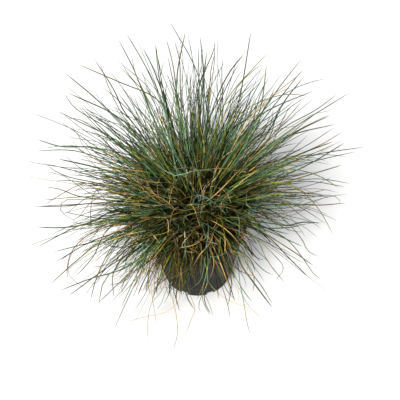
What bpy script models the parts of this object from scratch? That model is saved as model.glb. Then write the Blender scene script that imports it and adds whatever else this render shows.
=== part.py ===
"""Potted blue fescue clump, modelled in metres with +Z up.

The origin is the centre of the pot's flat underside. A thin nursery pot holds the potting
mix, the crown of the clump sits on the mix as a low dome, and 54 tufts of narrow blades
stand on the dome. The tufts share the dome's surface equally, and each leans outwards the
more the further it stands from the middle, so the blades spread as a loose half ball.
In front, towards -Y, the ball is cut back: the low tufts there are short.
"""

import math
import random

import bmesh
import bpy
import numpy as np
from mathutils import Matrix, Vector

# The pot, from its foot to its rim.
POT_HEIGHT = 0.092
RIM_RADIUS = 0.0525
FOOT_RADIUS = 0.038
WALL = 0.0013
RIM_BAND_HEIGHT = 0.010
RIM_BAND_STEP = 0.0022
FOOT_BEVEL = 0.0022
STACKING_LEDGE_HEIGHT = 0.017
STACKING_LEDGE_STEP = 0.0008
POT_SEGMENTS = 48
DRAIN_SLOTS = 8
DRAIN_SLOT_SIZE = (0.0085, 0.009, 0.010)
LIP_ROUNDING = 0.0005
WELD_DISTANCE = 1e-6

# The potting mix and the crown that sits on it.
TOUCHING_GAP = 0.0003
MIX_BELOW_RIM = 0.009
MIX_DOME = 0.0015
CROWN_RADIUS = 0.042
CROWN_SKIRT = 0.004
CROWN_DOME = 0.020
CROWN_FOOT_TUCK = 0.001
CROWN_RINGS = 7
CROWN_SEGMENTS = 24

# The tufts: how they stand on the crown and how far they lean and reach.
TUFTS = 54
BLADES_PER_TUFT = 6
GOLDEN_ANGLE = math.pi * (3.0 - math.sqrt(5.0))
OUTER_STAND = math.radians(47.0)
OUTER_LEAN = math.radians(112.0)
LEAN_JITTER = math.radians(2.0)
ARCH = 0.45
TUFT_LIFT = 0.0004
SHEATH_FOOT_RADIUS = 0.0031
SHEATH_TOP_RADIUS = 0.0041
SHEATH_LENGTH = 0.011
INNER_BLADE = 0.168
OUTER_BLADE = 0.114
LENGTH_JITTER = (0.90, 1.13)
REACH_HEADINGS = (0.0, 225.0, 250.0, 285.0, 310.0, 340.0)
REACH_SHARES = (1.0, 1.0, 0.74, 0.62, 0.46, 0.58)
LOW_LEANS = (math.radians(15.0), math.radians(62.0))
INNER_SPREAD = math.radians(3.2)
OUTER_SPREAD = math.radians(8.2)
BLADE_STATIONS = ((0.22, 0.00135), (0.50, 0.00115), (0.78, 0.00085), (1.0, 0.0))
PATH_STEPS = 24
SEED = 7


def clear_scene():
    """Remove whatever the file already holds."""
    for thing in list(bpy.data.objects):
        bpy.data.objects.remove(thing, do_unlink=True)


def make_material(name, colour, roughness, metallic=0.0):
    """A plain Principled material of one colour."""
    material = bpy.data.materials.new(name)
    material.use_nodes = True
    shader = material.node_tree.nodes["Principled BSDF"]
    shader.inputs["Base Color"].default_value = (*colour, 1.0)
    shader.inputs["Roughness"].default_value = roughness
    shader.inputs["Metallic"].default_value = metallic
    material.diffuse_color = (*colour, 1.0)
    return material


def add_object(name, mesh_builder, material):
    """Turn a bmesh into a named object with its material."""
    mesh = bpy.data.meshes.new(name)
    mesh_builder.to_mesh(mesh)
    mesh_builder.free()
    mesh.materials.append(material)
    thing = bpy.data.objects.new(name, mesh)
    bpy.context.scene.collection.objects.link(thing)
    return thing


def turned(profile, segments):
    """Spin an outline of (radius, height) points, both ends on the axis, into a solid."""
    builder = bmesh.new()
    points = [builder.verts.new((radius, 0.0, height)) for radius, height in profile]
    edges = [builder.edges.new(pair) for pair in zip(points, points[1:])]
    bmesh.ops.spin(
        builder,
        geom=points + edges,
        cent=(0.0, 0.0, 0.0),
        axis=(0.0, 0.0, 1.0),
        angle=math.tau,
        steps=segments,
        use_merge=True,
    )
    bmesh.ops.remove_doubles(builder, verts=builder.verts, dist=WELD_DISTANCE)
    bmesh.ops.recalc_face_normals(builder, faces=builder.faces)
    return builder


def shade_round(thing, sharp_degrees=40.0):
    """Shade a turned piece smooth, with its corners kept sharp."""
    thing.data.shade_smooth()
    thing.data.set_sharp_from_angle(angle=math.radians(sharp_degrees))


def wall_radius(height):
    """The pot's outer radius at a height, on its straight taper below the rim band."""
    under_rim = RIM_RADIUS - RIM_BAND_STEP
    band_bottom = POT_HEIGHT - RIM_BAND_HEIGHT
    taper = (under_rim - FOOT_RADIUS) / band_bottom
    return FOOT_RADIUS + taper * height


def cut_with(target, cutter_builder, name):
    """Take a cutter's shape out of a piece with an exact Boolean."""
    mesh = bpy.data.meshes.new(name)
    cutter_builder.to_mesh(mesh)
    cutter_builder.free()
    cutter = bpy.data.objects.new(name, mesh)
    cutter.hide_render = True
    cutter.display_type = "WIRE"
    bpy.context.scene.collection.objects.link(cutter)
    cut = target.modifiers.new(name, "BOOLEAN")
    cut.operation = "DIFFERENCE"
    cut.solver = "EXACT"
    cut.object = cutter


def make_pot():
    """The nursery pot: a tapered cup with a rim band, a stacking ledge and drain slots."""
    band_bottom = POT_HEIGHT - RIM_BAND_HEIGHT
    ledge = STACKING_LEDGE_HEIGHT
    lip = LIP_ROUNDING
    profile = [
        (0.0, 0.0),
        (FOOT_RADIUS - FOOT_BEVEL, 0.0),
        (FOOT_RADIUS - STACKING_LEDGE_STEP, FOOT_BEVEL),
        (wall_radius(ledge) - STACKING_LEDGE_STEP, ledge),
        (wall_radius(ledge), ledge + STACKING_LEDGE_STEP),
        (wall_radius(band_bottom), band_bottom),
        (RIM_RADIUS - lip, band_bottom + lip),
        (RIM_RADIUS, POT_HEIGHT - lip),
        (RIM_RADIUS - lip, POT_HEIGHT),
        (RIM_RADIUS - WALL + lip, POT_HEIGHT),
        (RIM_RADIUS - WALL, POT_HEIGHT - lip),
        (RIM_RADIUS - RIM_BAND_STEP - WALL, band_bottom - lip),
        (wall_radius(ledge) - STACKING_LEDGE_STEP - WALL, ledge),
        (FOOT_RADIUS - STACKING_LEDGE_STEP - WALL, FOOT_BEVEL + WALL),
        (FOOT_RADIUS - FOOT_BEVEL - WALL, WALL),
        (0.0, WALL),
    ]
    plastic = make_material("pot_plastic", (0.012, 0.012, 0.013), 0.42)
    pot = add_object("pot", turned(profile, POT_SEGMENTS), plastic)
    slots = bmesh.new()
    for slot in range(DRAIN_SLOTS):
        angle = math.tau * (slot + 0.5) / DRAIN_SLOTS
        place = Matrix.Rotation(angle, 4, "Z") @ Matrix.Translation((FOOT_RADIUS, 0.0, 0.0))
        bmesh.ops.create_cube(slots, size=1.0, matrix=place @ Matrix.Diagonal((*DRAIN_SLOT_SIZE, 1.0)))
    cut_with(pot, slots, "drain_slots")
    shade_round(pot)
    return pot


def mix_top():
    """The height of the potting mix where the crown sits on it."""
    return POT_HEIGHT - MIX_BELOW_RIM


def make_soil():
    """The potting mix: it follows the pot's inside at a small gap, with a soft rounded top."""
    ledge = STACKING_LEDGE_HEIGHT
    inset = WALL + TOUCHING_GAP
    top = mix_top()
    profile = [
        (0.0, inset),
        (FOOT_RADIUS - FOOT_BEVEL - inset, inset),
        (FOOT_RADIUS - STACKING_LEDGE_STEP - inset - TOUCHING_GAP, FOOT_BEVEL + inset),
        (wall_radius(ledge) - STACKING_LEDGE_STEP - inset, ledge),
        (wall_radius(top - MIX_DOME) - STACKING_LEDGE_STEP - inset, top - MIX_DOME),
        (CROWN_RADIUS + MIX_DOME, top),
        (0.0, top),
    ]
    mix = make_material("potting_mix", (0.035, 0.022, 0.013), 0.95)
    soil = add_object("soil", turned(profile, POT_SEGMENTS), mix)
    shade_round(soil)
    return soil


def dome_radius():
    """The radius of the sphere that the crown's dome is a cap of."""
    return (CROWN_RADIUS**2 + CROWN_DOME**2) / (2.0 * CROWN_DOME)


def dome_centre():
    """The height of that sphere's centre."""
    foot = mix_top() + TOUCHING_GAP
    return foot + CROWN_SKIRT + CROWN_DOME - dome_radius()


def make_crown():
    """The crown: a short skirt and a domed top, the old sheaths grown into one cushion."""
    foot = mix_top() + TOUCHING_GAP
    widest = math.asin(CROWN_RADIUS / dome_radius())
    angles = [widest * (1.0 - ring / CROWN_RINGS) for ring in range(CROWN_RINGS)]
    profile = [(0.0, foot), (CROWN_RADIUS - CROWN_FOOT_TUCK, foot)]
    profile += [
        (dome_radius() * math.sin(angle), dome_centre() + dome_radius() * math.cos(angle))
        for angle in angles
    ]
    profile.append((0.0, foot + CROWN_SKIRT + CROWN_DOME))
    thatch = make_material("crown_thatch", (0.075, 0.050, 0.022), 0.9)
    crown = add_object("crown", turned(profile, CROWN_SEGMENTS), thatch)
    shade_round(crown)
    return crown


def tuft_stand(index):
    """How far from upright, and which way round, a tuft stands on the dome.

    The tufts share the cap's area equally, a golden angle apart, as seeds do in a flower.
    """
    share = (index + 0.5) / TUFTS
    stand = math.acos(1.0 - share * (1.0 - math.cos(OUTER_STAND)))
    return stand, index * GOLDEN_ANGLE


def tuft_lean(stand):
    """The lean of a tuft's reach, which spreads the dome's cap evenly over the half ball."""
    widening = math.sin(OUTER_LEAN / 2.0) / math.sin(OUTER_STAND / 2.0)
    return 2.0 * math.asin(widening * math.sin(stand / 2.0))


def round_reach(heading, lean):
    """The share of its length that a tuft has, by its heading and the more the lower it leans."""
    share = float(np.interp(math.degrees(heading) % 360.0, REACH_HEADINGS, REACH_SHARES, period=360.0))
    low = min(1.0, max(0.0, (lean - LOW_LEANS[0]) / (LOW_LEANS[1] - LOW_LEANS[0])))
    return 1.0 + (share - 1.0) * low * low * (3.0 - 2.0 * low)


class TuftPath:
    """The middle line of a tuft, which arches from its stand on the dome out to its lean."""

    def __init__(self, index, chance):
        self.stand, self.heading = tuft_stand(index)
        lean = tuft_lean(self.stand) + chance.uniform(-LEAN_JITTER, LEAN_JITTER)
        self.tip_lean = self.stand + (lean - self.stand) * (1.0 + ARCH)
        share = self.stand / OUTER_STAND
        self.length = INNER_BLADE + (OUTER_BLADE - INNER_BLADE) * share**2
        self.length *= chance.uniform(*LENGTH_JITTER) * round_reach(self.heading, lean)
        outwards = self.direction(0.0)
        lift = dome_radius() + TUFT_LIFT
        self.foot = Vector((0.0, 0.0, dome_centre())) + outwards * lift
        self.start = self.foot + outwards * SHEATH_LENGTH

    def lean_at(self, share):
        """The lean from upright at a share of the length, quick at first and then steady."""
        return self.stand + (self.tip_lean - self.stand) * share**ARCH

    def direction(self, share):
        """The way that the path runs at a share of its length."""
        lean = self.lean_at(share)
        flat = Vector((math.cos(self.heading), math.sin(self.heading), 0.0))
        return flat * math.sin(lean) + Vector((0.0, 0.0, math.cos(lean)))

    def across(self, share):
        """The two directions square to the path: in its own upright plane, and level."""
        run = self.direction(share)
        level = Vector((-math.sin(self.heading), math.cos(self.heading), 0.0))
        return level.cross(run), level

    def point(self, share, reach):
        """The point at a share of the length, where the whole length is scaled by reach."""
        middle = (np.arange(PATH_STEPS) + 0.5) / PATH_STEPS * share
        leans = self.stand + (self.tip_lean - self.stand) * middle**ARCH
        run = self.length * reach * share / PATH_STEPS
        flat = float(np.sin(leans).sum()) * run
        up = float(np.cos(leans).sum()) * run
        return self.start + Vector(
            (flat * math.cos(self.heading), flat * math.sin(self.heading), up)
        )


def place_on(path, share, offset_in, offset_level):
    """A shift off the path's middle line, in the plane square to it."""
    inward, level = path.across(share)
    return inward * offset_in + level * offset_level


def grow_blade(builder, face, path, blade, chance):
    """Draw one blade out of a face on the sheath's top, ring by ring to a pointed tip."""
    turn = math.tau * (blade + 0.5) / BLADES_PER_TUFT
    spread = INNER_SPREAD if blade % 2 else OUTER_SPREAD
    spread *= chance.uniform(0.88, 1.0)
    reach = chance.uniform(0.84, 1.0) if blade % 2 else chance.uniform(0.92, 1.0)
    root = SHEATH_TOP_RADIUS * 2.0 * math.cos(math.pi / BLADES_PER_TUFT) / 3.0
    inward, level = path.across(0.0)
    centre = sum((vert.co for vert in face.verts), Vector()) / 3.0
    corners = [(vert.co - centre).normalized() for vert in face.verts]
    corners = [(corner.dot(inward), corner.dot(level)) for corner in corners]
    for share, radius in BLADE_STATIONS:
        off = root + path.length * reach * share * math.tan(spread)
        middle = path.point(share, reach)
        middle += place_on(path, share, off * math.cos(turn), off * math.sin(turn))
        if radius == 0.0:
            bmesh.ops.pointmerge(builder, verts=face.verts[:], merge_co=middle)
            return
        face = bmesh.ops.extrude_discrete_faces(builder, faces=[face])["faces"][0]
        for vert, (off_in, off_level) in zip(face.verts, corners):
            vert.co = middle + place_on(path, share, off_in * radius, off_level * radius)


def make_tuft(index, material):
    """One tuft: a six-sided bundle of sheaths, and a blade from each sixth of its top."""
    chance = random.Random(SEED * 1000 + index)
    path = TuftPath(index, chance)
    inward, level = path.across(0.0)
    builder = bmesh.new()

    def ring(centre, radius):
        """Six corners round the path."""
        corners = []
        for corner in range(BLADES_PER_TUFT):
            turn = math.tau * corner / BLADES_PER_TUFT
            shift = inward * (radius * math.cos(turn)) + level * (radius * math.sin(turn))
            corners.append(builder.verts.new(centre + shift))
        return corners

    foot = ring(path.foot, SHEATH_FOOT_RADIUS)
    top = ring(path.start, SHEATH_TOP_RADIUS)
    hub = builder.verts.new(path.start)
    builder.faces.new(foot[::-1])
    tops = []
    for near in range(BLADES_PER_TUFT):
        far = (near + 1) % BLADES_PER_TUFT
        builder.faces.new((foot[near], foot[far], top[far], top[near]))
        tops.append(builder.faces.new((hub, top[near], top[far])))
    for blade, face in enumerate(tops):
        grow_blade(builder, face, path, blade, chance)
    bmesh.ops.recalc_face_normals(builder, faces=builder.faces)
    bmesh.ops.triangulate(builder, faces=builder.faces)
    return add_object(f"tuft_{index + 1:02d}", builder, material)


def make_tufts():
    """All the tufts: glaucous in the middle and drier round the outside."""
    glaucous = Vector((0.105, 0.175, 0.105))
    dry = Vector((0.250, 0.205, 0.085))
    for index in range(TUFTS):
        share = index / (TUFTS - 1)
        colour = glaucous.lerp(dry, 0.65 * share**2)
        leaf = make_material(f"leaf_{index + 1:02d}", tuple(colour), 0.55)
        make_tuft(index, leaf)


def main():
    """Build the pot, what fills it and the clump."""
    clear_scene()
    make_pot()
    make_soil()
    make_crown()
    make_tufts()


main()
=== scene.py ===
"""Looks of the potted blue fescue clump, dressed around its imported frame, in metres.

The pot, the potting mix and the thatch of the crown are surfaces of revolution worked out on
grids. Each tuft of the frame becomes a bundle of fine blades that rise from the same place on
the crown, lean the same way and reach the same tips.
"""

import logging
import math
import random
from dataclasses import dataclass
from enum import Enum

import bmesh
import bpy
import numpy as np
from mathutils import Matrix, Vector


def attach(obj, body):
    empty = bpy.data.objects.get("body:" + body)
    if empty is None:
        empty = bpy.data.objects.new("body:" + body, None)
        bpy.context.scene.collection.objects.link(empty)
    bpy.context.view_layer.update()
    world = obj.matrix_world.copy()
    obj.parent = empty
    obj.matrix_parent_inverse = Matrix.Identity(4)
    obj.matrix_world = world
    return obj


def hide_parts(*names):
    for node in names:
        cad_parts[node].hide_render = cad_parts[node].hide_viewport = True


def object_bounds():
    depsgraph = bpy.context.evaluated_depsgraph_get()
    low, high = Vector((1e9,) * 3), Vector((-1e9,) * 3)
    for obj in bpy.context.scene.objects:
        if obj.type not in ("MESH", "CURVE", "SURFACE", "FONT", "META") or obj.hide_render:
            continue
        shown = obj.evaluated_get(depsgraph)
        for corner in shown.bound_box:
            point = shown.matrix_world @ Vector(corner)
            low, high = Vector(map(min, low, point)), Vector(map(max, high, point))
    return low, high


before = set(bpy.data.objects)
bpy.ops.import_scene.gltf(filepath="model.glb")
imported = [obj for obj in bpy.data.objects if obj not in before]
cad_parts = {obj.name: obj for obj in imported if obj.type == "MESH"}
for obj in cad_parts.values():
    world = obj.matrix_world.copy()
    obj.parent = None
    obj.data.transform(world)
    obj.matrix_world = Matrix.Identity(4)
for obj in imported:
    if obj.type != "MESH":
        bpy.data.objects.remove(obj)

CAD_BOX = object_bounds()
LOG = logging.getLogger("fescue")
TAU = math.tau
UP = np.array((0.0, 0.0, 1.0))
GOLDEN_ANGLE = math.pi * (3.0 - math.sqrt(5.0))
LEAN_PER_STAND = 1.6
BLADE_LOOKS = ("Age", "Along", "Bloom", "Tone")

Colour = tuple[float, float, float]
Socket = bpy.types.NodeSocket
Value = Socket | float | tuple


def unit(rows: np.ndarray) -> np.ndarray:
    """Scale each vector on the last axis to length one.

    Args:
        rows: vectors, shape (..., 3).

    Returns:
        The unit vectors, same shape.
    """
    return rows / np.maximum(np.linalg.norm(rows, axis=-1, keepdims=True), 1e-9)


def leaning(lean: np.ndarray | float, heading: np.ndarray | float) -> np.ndarray:
    """Directions that lean from upright by an angle, towards a heading round the vertical.

    Args:
        lean: angle from +Z, in radians.
        heading: angle from +X round +Z, in radians.

    Returns:
        Unit vectors: the sine of the lean along the heading, its cosine up.
    """
    lean, heading = np.broadcast_arrays(lean, heading)
    flat = np.sin(lean)
    return np.stack((flat * np.cos(heading), flat * np.sin(heading), np.cos(lean)), -1)


def smooth_step(low: float, high: float, value: np.ndarray) -> np.ndarray:
    """An S-shaped rise from 0 at low to 1 at high: three times the square less two cubes."""
    share = np.clip((value - low) / (high - low), 0.0, 1.0)
    return share * share * (3.0 - 2.0 * share)


@dataclass(frozen=True)
class FrameLayout:
    """The driving sizes of the frame's pot, crown and tufts, as the solids were made to."""

    pot_height: float = 0.092
    rim_radius: float = 0.0525
    foot_radius: float = 0.038
    wall: float = 0.0013
    rim_band_height: float = 0.010
    rim_band_step: float = 0.0022
    mix_below_rim: float = 0.009
    touching_gap: float = 0.0003
    crown_radius: float = 0.042
    crown_skirt: float = 0.004
    crown_dome: float = 0.020
    tufts: int = 54
    outer_stand: float = math.radians(47.0)
    outer_lean: float = math.radians(112.0)
    lean_jitter: float = math.radians(2.0)
    inner_blade: float = 0.168
    outer_blade: float = 0.114
    length_jitter: tuple[float, float] = (0.90, 1.13)
    reach_headings: tuple[float, ...] = (0.0, 225.0, 250.0, 285.0, 310.0, 340.0)
    reach_shares: tuple[float, ...] = (1.0, 1.0, 0.74, 0.62, 0.46, 0.58)
    low_leans: tuple[float, float] = (math.radians(15.0), math.radians(62.0))
    seed: int = 7

    @property
    def mix_top(self) -> float:
        """Height of the potting mix under the crown."""
        return self.pot_height - self.mix_below_rim

    @property
    def dome_radius(self) -> float:
        """Radius of the sphere that the crown's dome is a cap of."""
        return (self.crown_radius**2 + self.crown_dome**2) / (2.0 * self.crown_dome)

    @property
    def dome_centre(self) -> np.ndarray:
        """Centre of that sphere."""
        height = self.mix_top + self.touching_gap + self.crown_skirt + self.crown_dome
        return UP * (height - self.dome_radius)

    def wall_radius(self, height: np.ndarray | float) -> np.ndarray | float:
        """The pot's outer radius at a height: a straight taper from the foot to the band."""
        taper = self.rim_radius - self.rim_band_step - self.foot_radius
        return self.foot_radius + taper * height / (self.pot_height - self.rim_band_height)

    def cap_stand(self, share: np.ndarray | float, widening: float = 1.0) -> np.ndarray | float:
        """How far from upright a place stands that has this share of the tufts' cap inside it."""
        return np.arccos(1.0 - share * (1.0 - math.cos(self.outer_stand * widening)))

    def stand(self, index: int) -> float:
        """How far from upright a tuft stands, where all share the dome's cap equally."""
        return float(self.cap_stand((index + 0.5) / self.tufts))

    def on_dome(self, out: np.ndarray, depth: float = 0.002) -> np.ndarray:
        """The places at a depth under the dome, along directions from its centre."""
        return self.dome_centre + out * (self.dome_radius - depth)

    def lean(self, stand: float) -> float:
        """The lean of a tuft's reach, which spreads the cap evenly over the half ball."""
        widening = math.sin(self.outer_lean / 2.0) / math.sin(self.outer_stand / 2.0)
        return 2.0 * math.asin(widening * math.sin(stand / 2.0))

    def lowness(self, lean: np.ndarray | float) -> np.ndarray:
        """How low a tuft leans: 0 for an upright one and 1 for one that spreads level."""
        return smooth_step(*self.low_leans, np.asarray(lean))

    def round_reach(self, heading: np.ndarray | float, lean: np.ndarray | float) -> np.ndarray:
        """The share of its length that a tuft has, where the clump is cut back in front."""
        share = np.interp(np.degrees(heading), self.reach_headings, self.reach_shares, period=360.0)
        return 1.0 + (share - 1.0) * self.lowness(lean)


LAYOUT = FrameLayout()


@dataclass(frozen=True)
class PhotoView:
    """The photograph's view of the clump, which the camera and the traced blades share.

    Picture points are pixels of the 400 by 400 photograph, counted from its upper left corner.
    """

    elevation: float = math.radians(48.0)
    distance: float = 0.72
    width: float = 0.408
    pixels: float = 400.0
    crown_height: float = 0.105
    aim_shift: tuple[float, float] = (0.003, 0.0075)

    @property
    def away(self) -> np.ndarray:
        """The direction from the aim to the eye."""
        return np.array((0.0, -math.cos(self.elevation), math.sin(self.elevation)))

    @property
    def rise(self) -> np.ndarray:
        """The direction in space that is upwards in the picture."""
        return np.array((0.0, math.sin(self.elevation), math.cos(self.elevation)))

    @property
    def aim(self) -> np.ndarray:
        """The place that the camera looks at."""
        aside, above = self.aim_shift
        return UP * self.crown_height + self.rise * above + np.array((aside, 0.0, 0.0))

    @property
    def eye(self) -> np.ndarray:
        """Where the camera stands."""
        return self.aim + self.away * self.distance

    def rays(self, picture: np.ndarray) -> np.ndarray:
        """The ways from the eye through picture points, as long as they are one metre deep."""
        across, down = ((picture - self.pixels / 2.0) / self.pixels * self.width / self.distance).T
        return np.outer(across, (1.0, 0.0, 0.0)) - np.outer(down, self.rise) - self.away

    def places(self, picture: np.ndarray, depth: np.ndarray) -> np.ndarray:
        """The places of picture points that lie at these depths before the eye."""
        return self.eye + self.rays(picture) * depth[:, None]


PHOTO_VIEW = PhotoView()


class Slot(Enum):
    """The record's material slots."""

    POT = "pot_plastic"
    MIX = "potting_mix"
    THATCH = "crown_thatch"
    LEAF = "leaf_blades"
    DRYING_LEAF = "drying_leaf_blades"


@dataclass
class Board:
    """A node tree, with short ways to add nodes to it and wire them up."""

    tree: bpy.types.NodeTree

    def node(self, kind: str, **settings: object) -> bpy.types.Node:
        """Add a node of a kind and set its own properties.

        Args:
            kind: the node's type name.
            settings: property names and their values.

        Returns:
            The new node.
        """
        made = self.tree.nodes.new(kind)
        for name, value in settings.items():
            setattr(made, name, value)
        return made

    def feed(self, target: Socket, value: Value) -> None:
        """Wire a socket to an input, or set the input to a value.

        Args:
            target: the input.
            value: another node's output, or a number, a colour or a vector.
        """
        if isinstance(value, bpy.types.NodeSocket):
            self.tree.links.new(value, target)
        elif isinstance(value, tuple) and target.type == "RGBA":
            target.default_value = (*value[:3], 1.0)
        else:
            target.default_value = value

    def fed(self, kind: str, *values: Value, **settings: object) -> bpy.types.Node:
        """Add a node and feed its first inputs.

        Args:
            kind: the node's type name.
            values: what its first inputs take, in their order.
            settings: property names and their values.

        Returns:
            The new node.
        """
        made = self.node(kind, **settings)
        for target, value in zip(made.inputs, values):
            self.feed(target, value)
        return made

    def maths(self, operation: str, first: Value, second: Value = 0.0, clamp: bool = False) -> Socket:
        """Combine two values by a named sum and return the result."""
        return self.fed("ShaderNodeMath", first, second, operation=operation, use_clamp=clamp).outputs[0]

    def blend(self, factor: Value, first: Value, second: Value, how: str = "MIX") -> Socket:
        """Mix two colours.

        Args:
            factor: how much of the second there is.
            first: one colour.
            second: the other.
            how: the way they are mixed.

        Returns:
            The mixed colour.
        """
        made = self.node("ShaderNodeMix", data_type="RGBA", blend_type=how)
        self.feed(made.inputs[0], factor)
        self.feed(made.inputs[6], first)
        self.feed(made.inputs[7], second)
        return made.outputs[2]

    def ramp(self, factor: Socket, stops: tuple[tuple[float, Colour], ...]) -> Socket:
        """Turn a value into a colour.

        Args:
            factor: the value, from 0 to 1.
            stops: places between 0 and 1, each with its colour.

        Returns:
            The colour.
        """
        made = self.fed("ShaderNodeValToRGB", factor)
        points = made.color_ramp.elements
        while len(points) < len(stops):
            points.new(0.5)
        for point, (place, colour) in zip(points, stops):
            point.position = place
            point.color = (*colour, 1.0)
        return made.outputs[0]

    def spread(self, value: Socket, low: float, high: float, to_low: float, to_high: float) -> Socket:
        """Map a value from one span to another, smoothly and held at the ends.

        Args:
            value: the value to map.
            low: where it starts to change.
            high: where it stops.
            to_low: what it becomes at low and under it.
            to_high: what it becomes at high and over it.

        Returns:
            The mapped value.
        """
        settings = {"interpolation_type": "SMOOTHSTEP", "clamp": True}
        return self.fed("ShaderNodeMapRange", value, low, high, to_low, to_high, **settings).outputs[0]

    def place(self) -> Socket:
        """The piece's own coordinates."""
        return self.node("ShaderNodeTexCoord").outputs["Object"]

    def length(self, vector: Socket) -> Socket:
        """The length of a vector."""
        return self.fed("ShaderNodeVectorMath", vector, operation="LENGTH").outputs["Value"]

    def product(self, first: Value, *others: Value) -> Socket:
        """Multiply a value by others.

        Args:
            first: the value.
            others: what it is multiplied by, in turn.

        Returns:
            The product.
        """
        for other in others:
            first = self.maths("MULTIPLY", first, other)
        return first

    def colour(self, *levels: Value) -> Socket:
        """Join a red, a green and a blue level into a colour."""
        return self.fed("ShaderNodeCombineColor", *levels).outputs[0]

    def noise_over(self, vector: Socket, scale: float, detail: float) -> Socket:
        """Noise over a vector.

        Args:
            vector: the place.
            scale: bumps in each unit of it.
            detail: how many finer octaves are added.

        Returns:
            The noise value, about 0 to 1.
        """
        made = self.fed("ShaderNodeTexNoise", vector)
        made.inputs["Scale"].default_value = scale
        made.inputs["Detail"].default_value = detail
        return made.outputs[0]

    def noise(self, scale: float, detail: float = 3.0, stretch: Colour = (1.0, 1.0, 1.0)) -> Socket:
        """Noise over the piece's own coordinates, at so many bumps a metre.

        Args:
            scale: bumps a metre.
            detail: how many finer octaves are added.
            stretch: scale along X, Y and Z.

        Returns:
            The noise value, about 0 to 1.
        """
        mapping = self.fed("ShaderNodeMapping", self.place())
        mapping.inputs["Scale"].default_value = stretch
        return self.noise_over(mapping.outputs[0], scale, detail)

    def attribute(self, name: str) -> Socket:
        """The value of one of the mesh's own attributes."""
        return self.node("ShaderNodeAttribute", attribute_name=name).outputs["Fac"]

    def group(self, tree: bpy.types.NodeTree, **values: Value) -> bpy.types.NodeOutputs:
        """Place a node group.

        Args:
            tree: the group.
            values: what its inputs take, by their names.

        Returns:
            Its outputs.
        """
        made = self.node("ShaderNodeGroup")
        made.node_tree = tree
        for name, value in values.items():
            self.feed(made.inputs[name], value)
        return made.outputs


class MaterialBoard(Board):
    """The node tree of a new material that has one Principled shader."""

    def __init__(self, name: str) -> None:
        """Make the material and find its shader's inputs.

        Args:
            name: the material's name.
        """
        self.material = bpy.data.materials.new(name)
        self.material.use_nodes = True
        super().__init__(self.material.node_tree)
        self.shader = self.tree.nodes["Principled BSDF"].inputs

    def bump(self, height: Socket, strength: float, distance: float) -> None:
        """Give the shader's surface a relief.

        Args:
            height: how high each point is.
            strength: how much of the relief shows.
            distance: what a height of one stands for, in metres.
        """
        made = self.fed("ShaderNodeBump", strength, distance)
        self.feed(made.inputs["Height"], height)
        self.feed(self.shader["Normal"], made.outputs[0])


def start_group(
    name: str, inputs: dict[str, str], outputs: dict[str, str]
) -> tuple[Board, dict[str, Socket], dict[str, Socket]]:
    """Start a shader node group with named inputs and outputs.

    Args:
        name: the group's name.
        inputs: input names and the kind of each, Float or Color.
        outputs: output names and the kind of each.

    Returns:
        The board, the inside sockets of the inputs, and those of the outputs.
    """
    tree = bpy.data.node_groups.new(name, "ShaderNodeTree")
    for way, sockets in (("INPUT", inputs), ("OUTPUT", outputs)):
        for label, kind in sockets.items():
            tree.interface.new_socket(label, in_out=way, socket_type=f"NodeSocket{kind}")
    board = Board(tree)
    enter = board.node("NodeGroupInput")
    leave = board.node("NodeGroupOutput")
    return board, {s.name: s for s in enter.outputs}, {s.name: s for s in leave.inputs}


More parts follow.
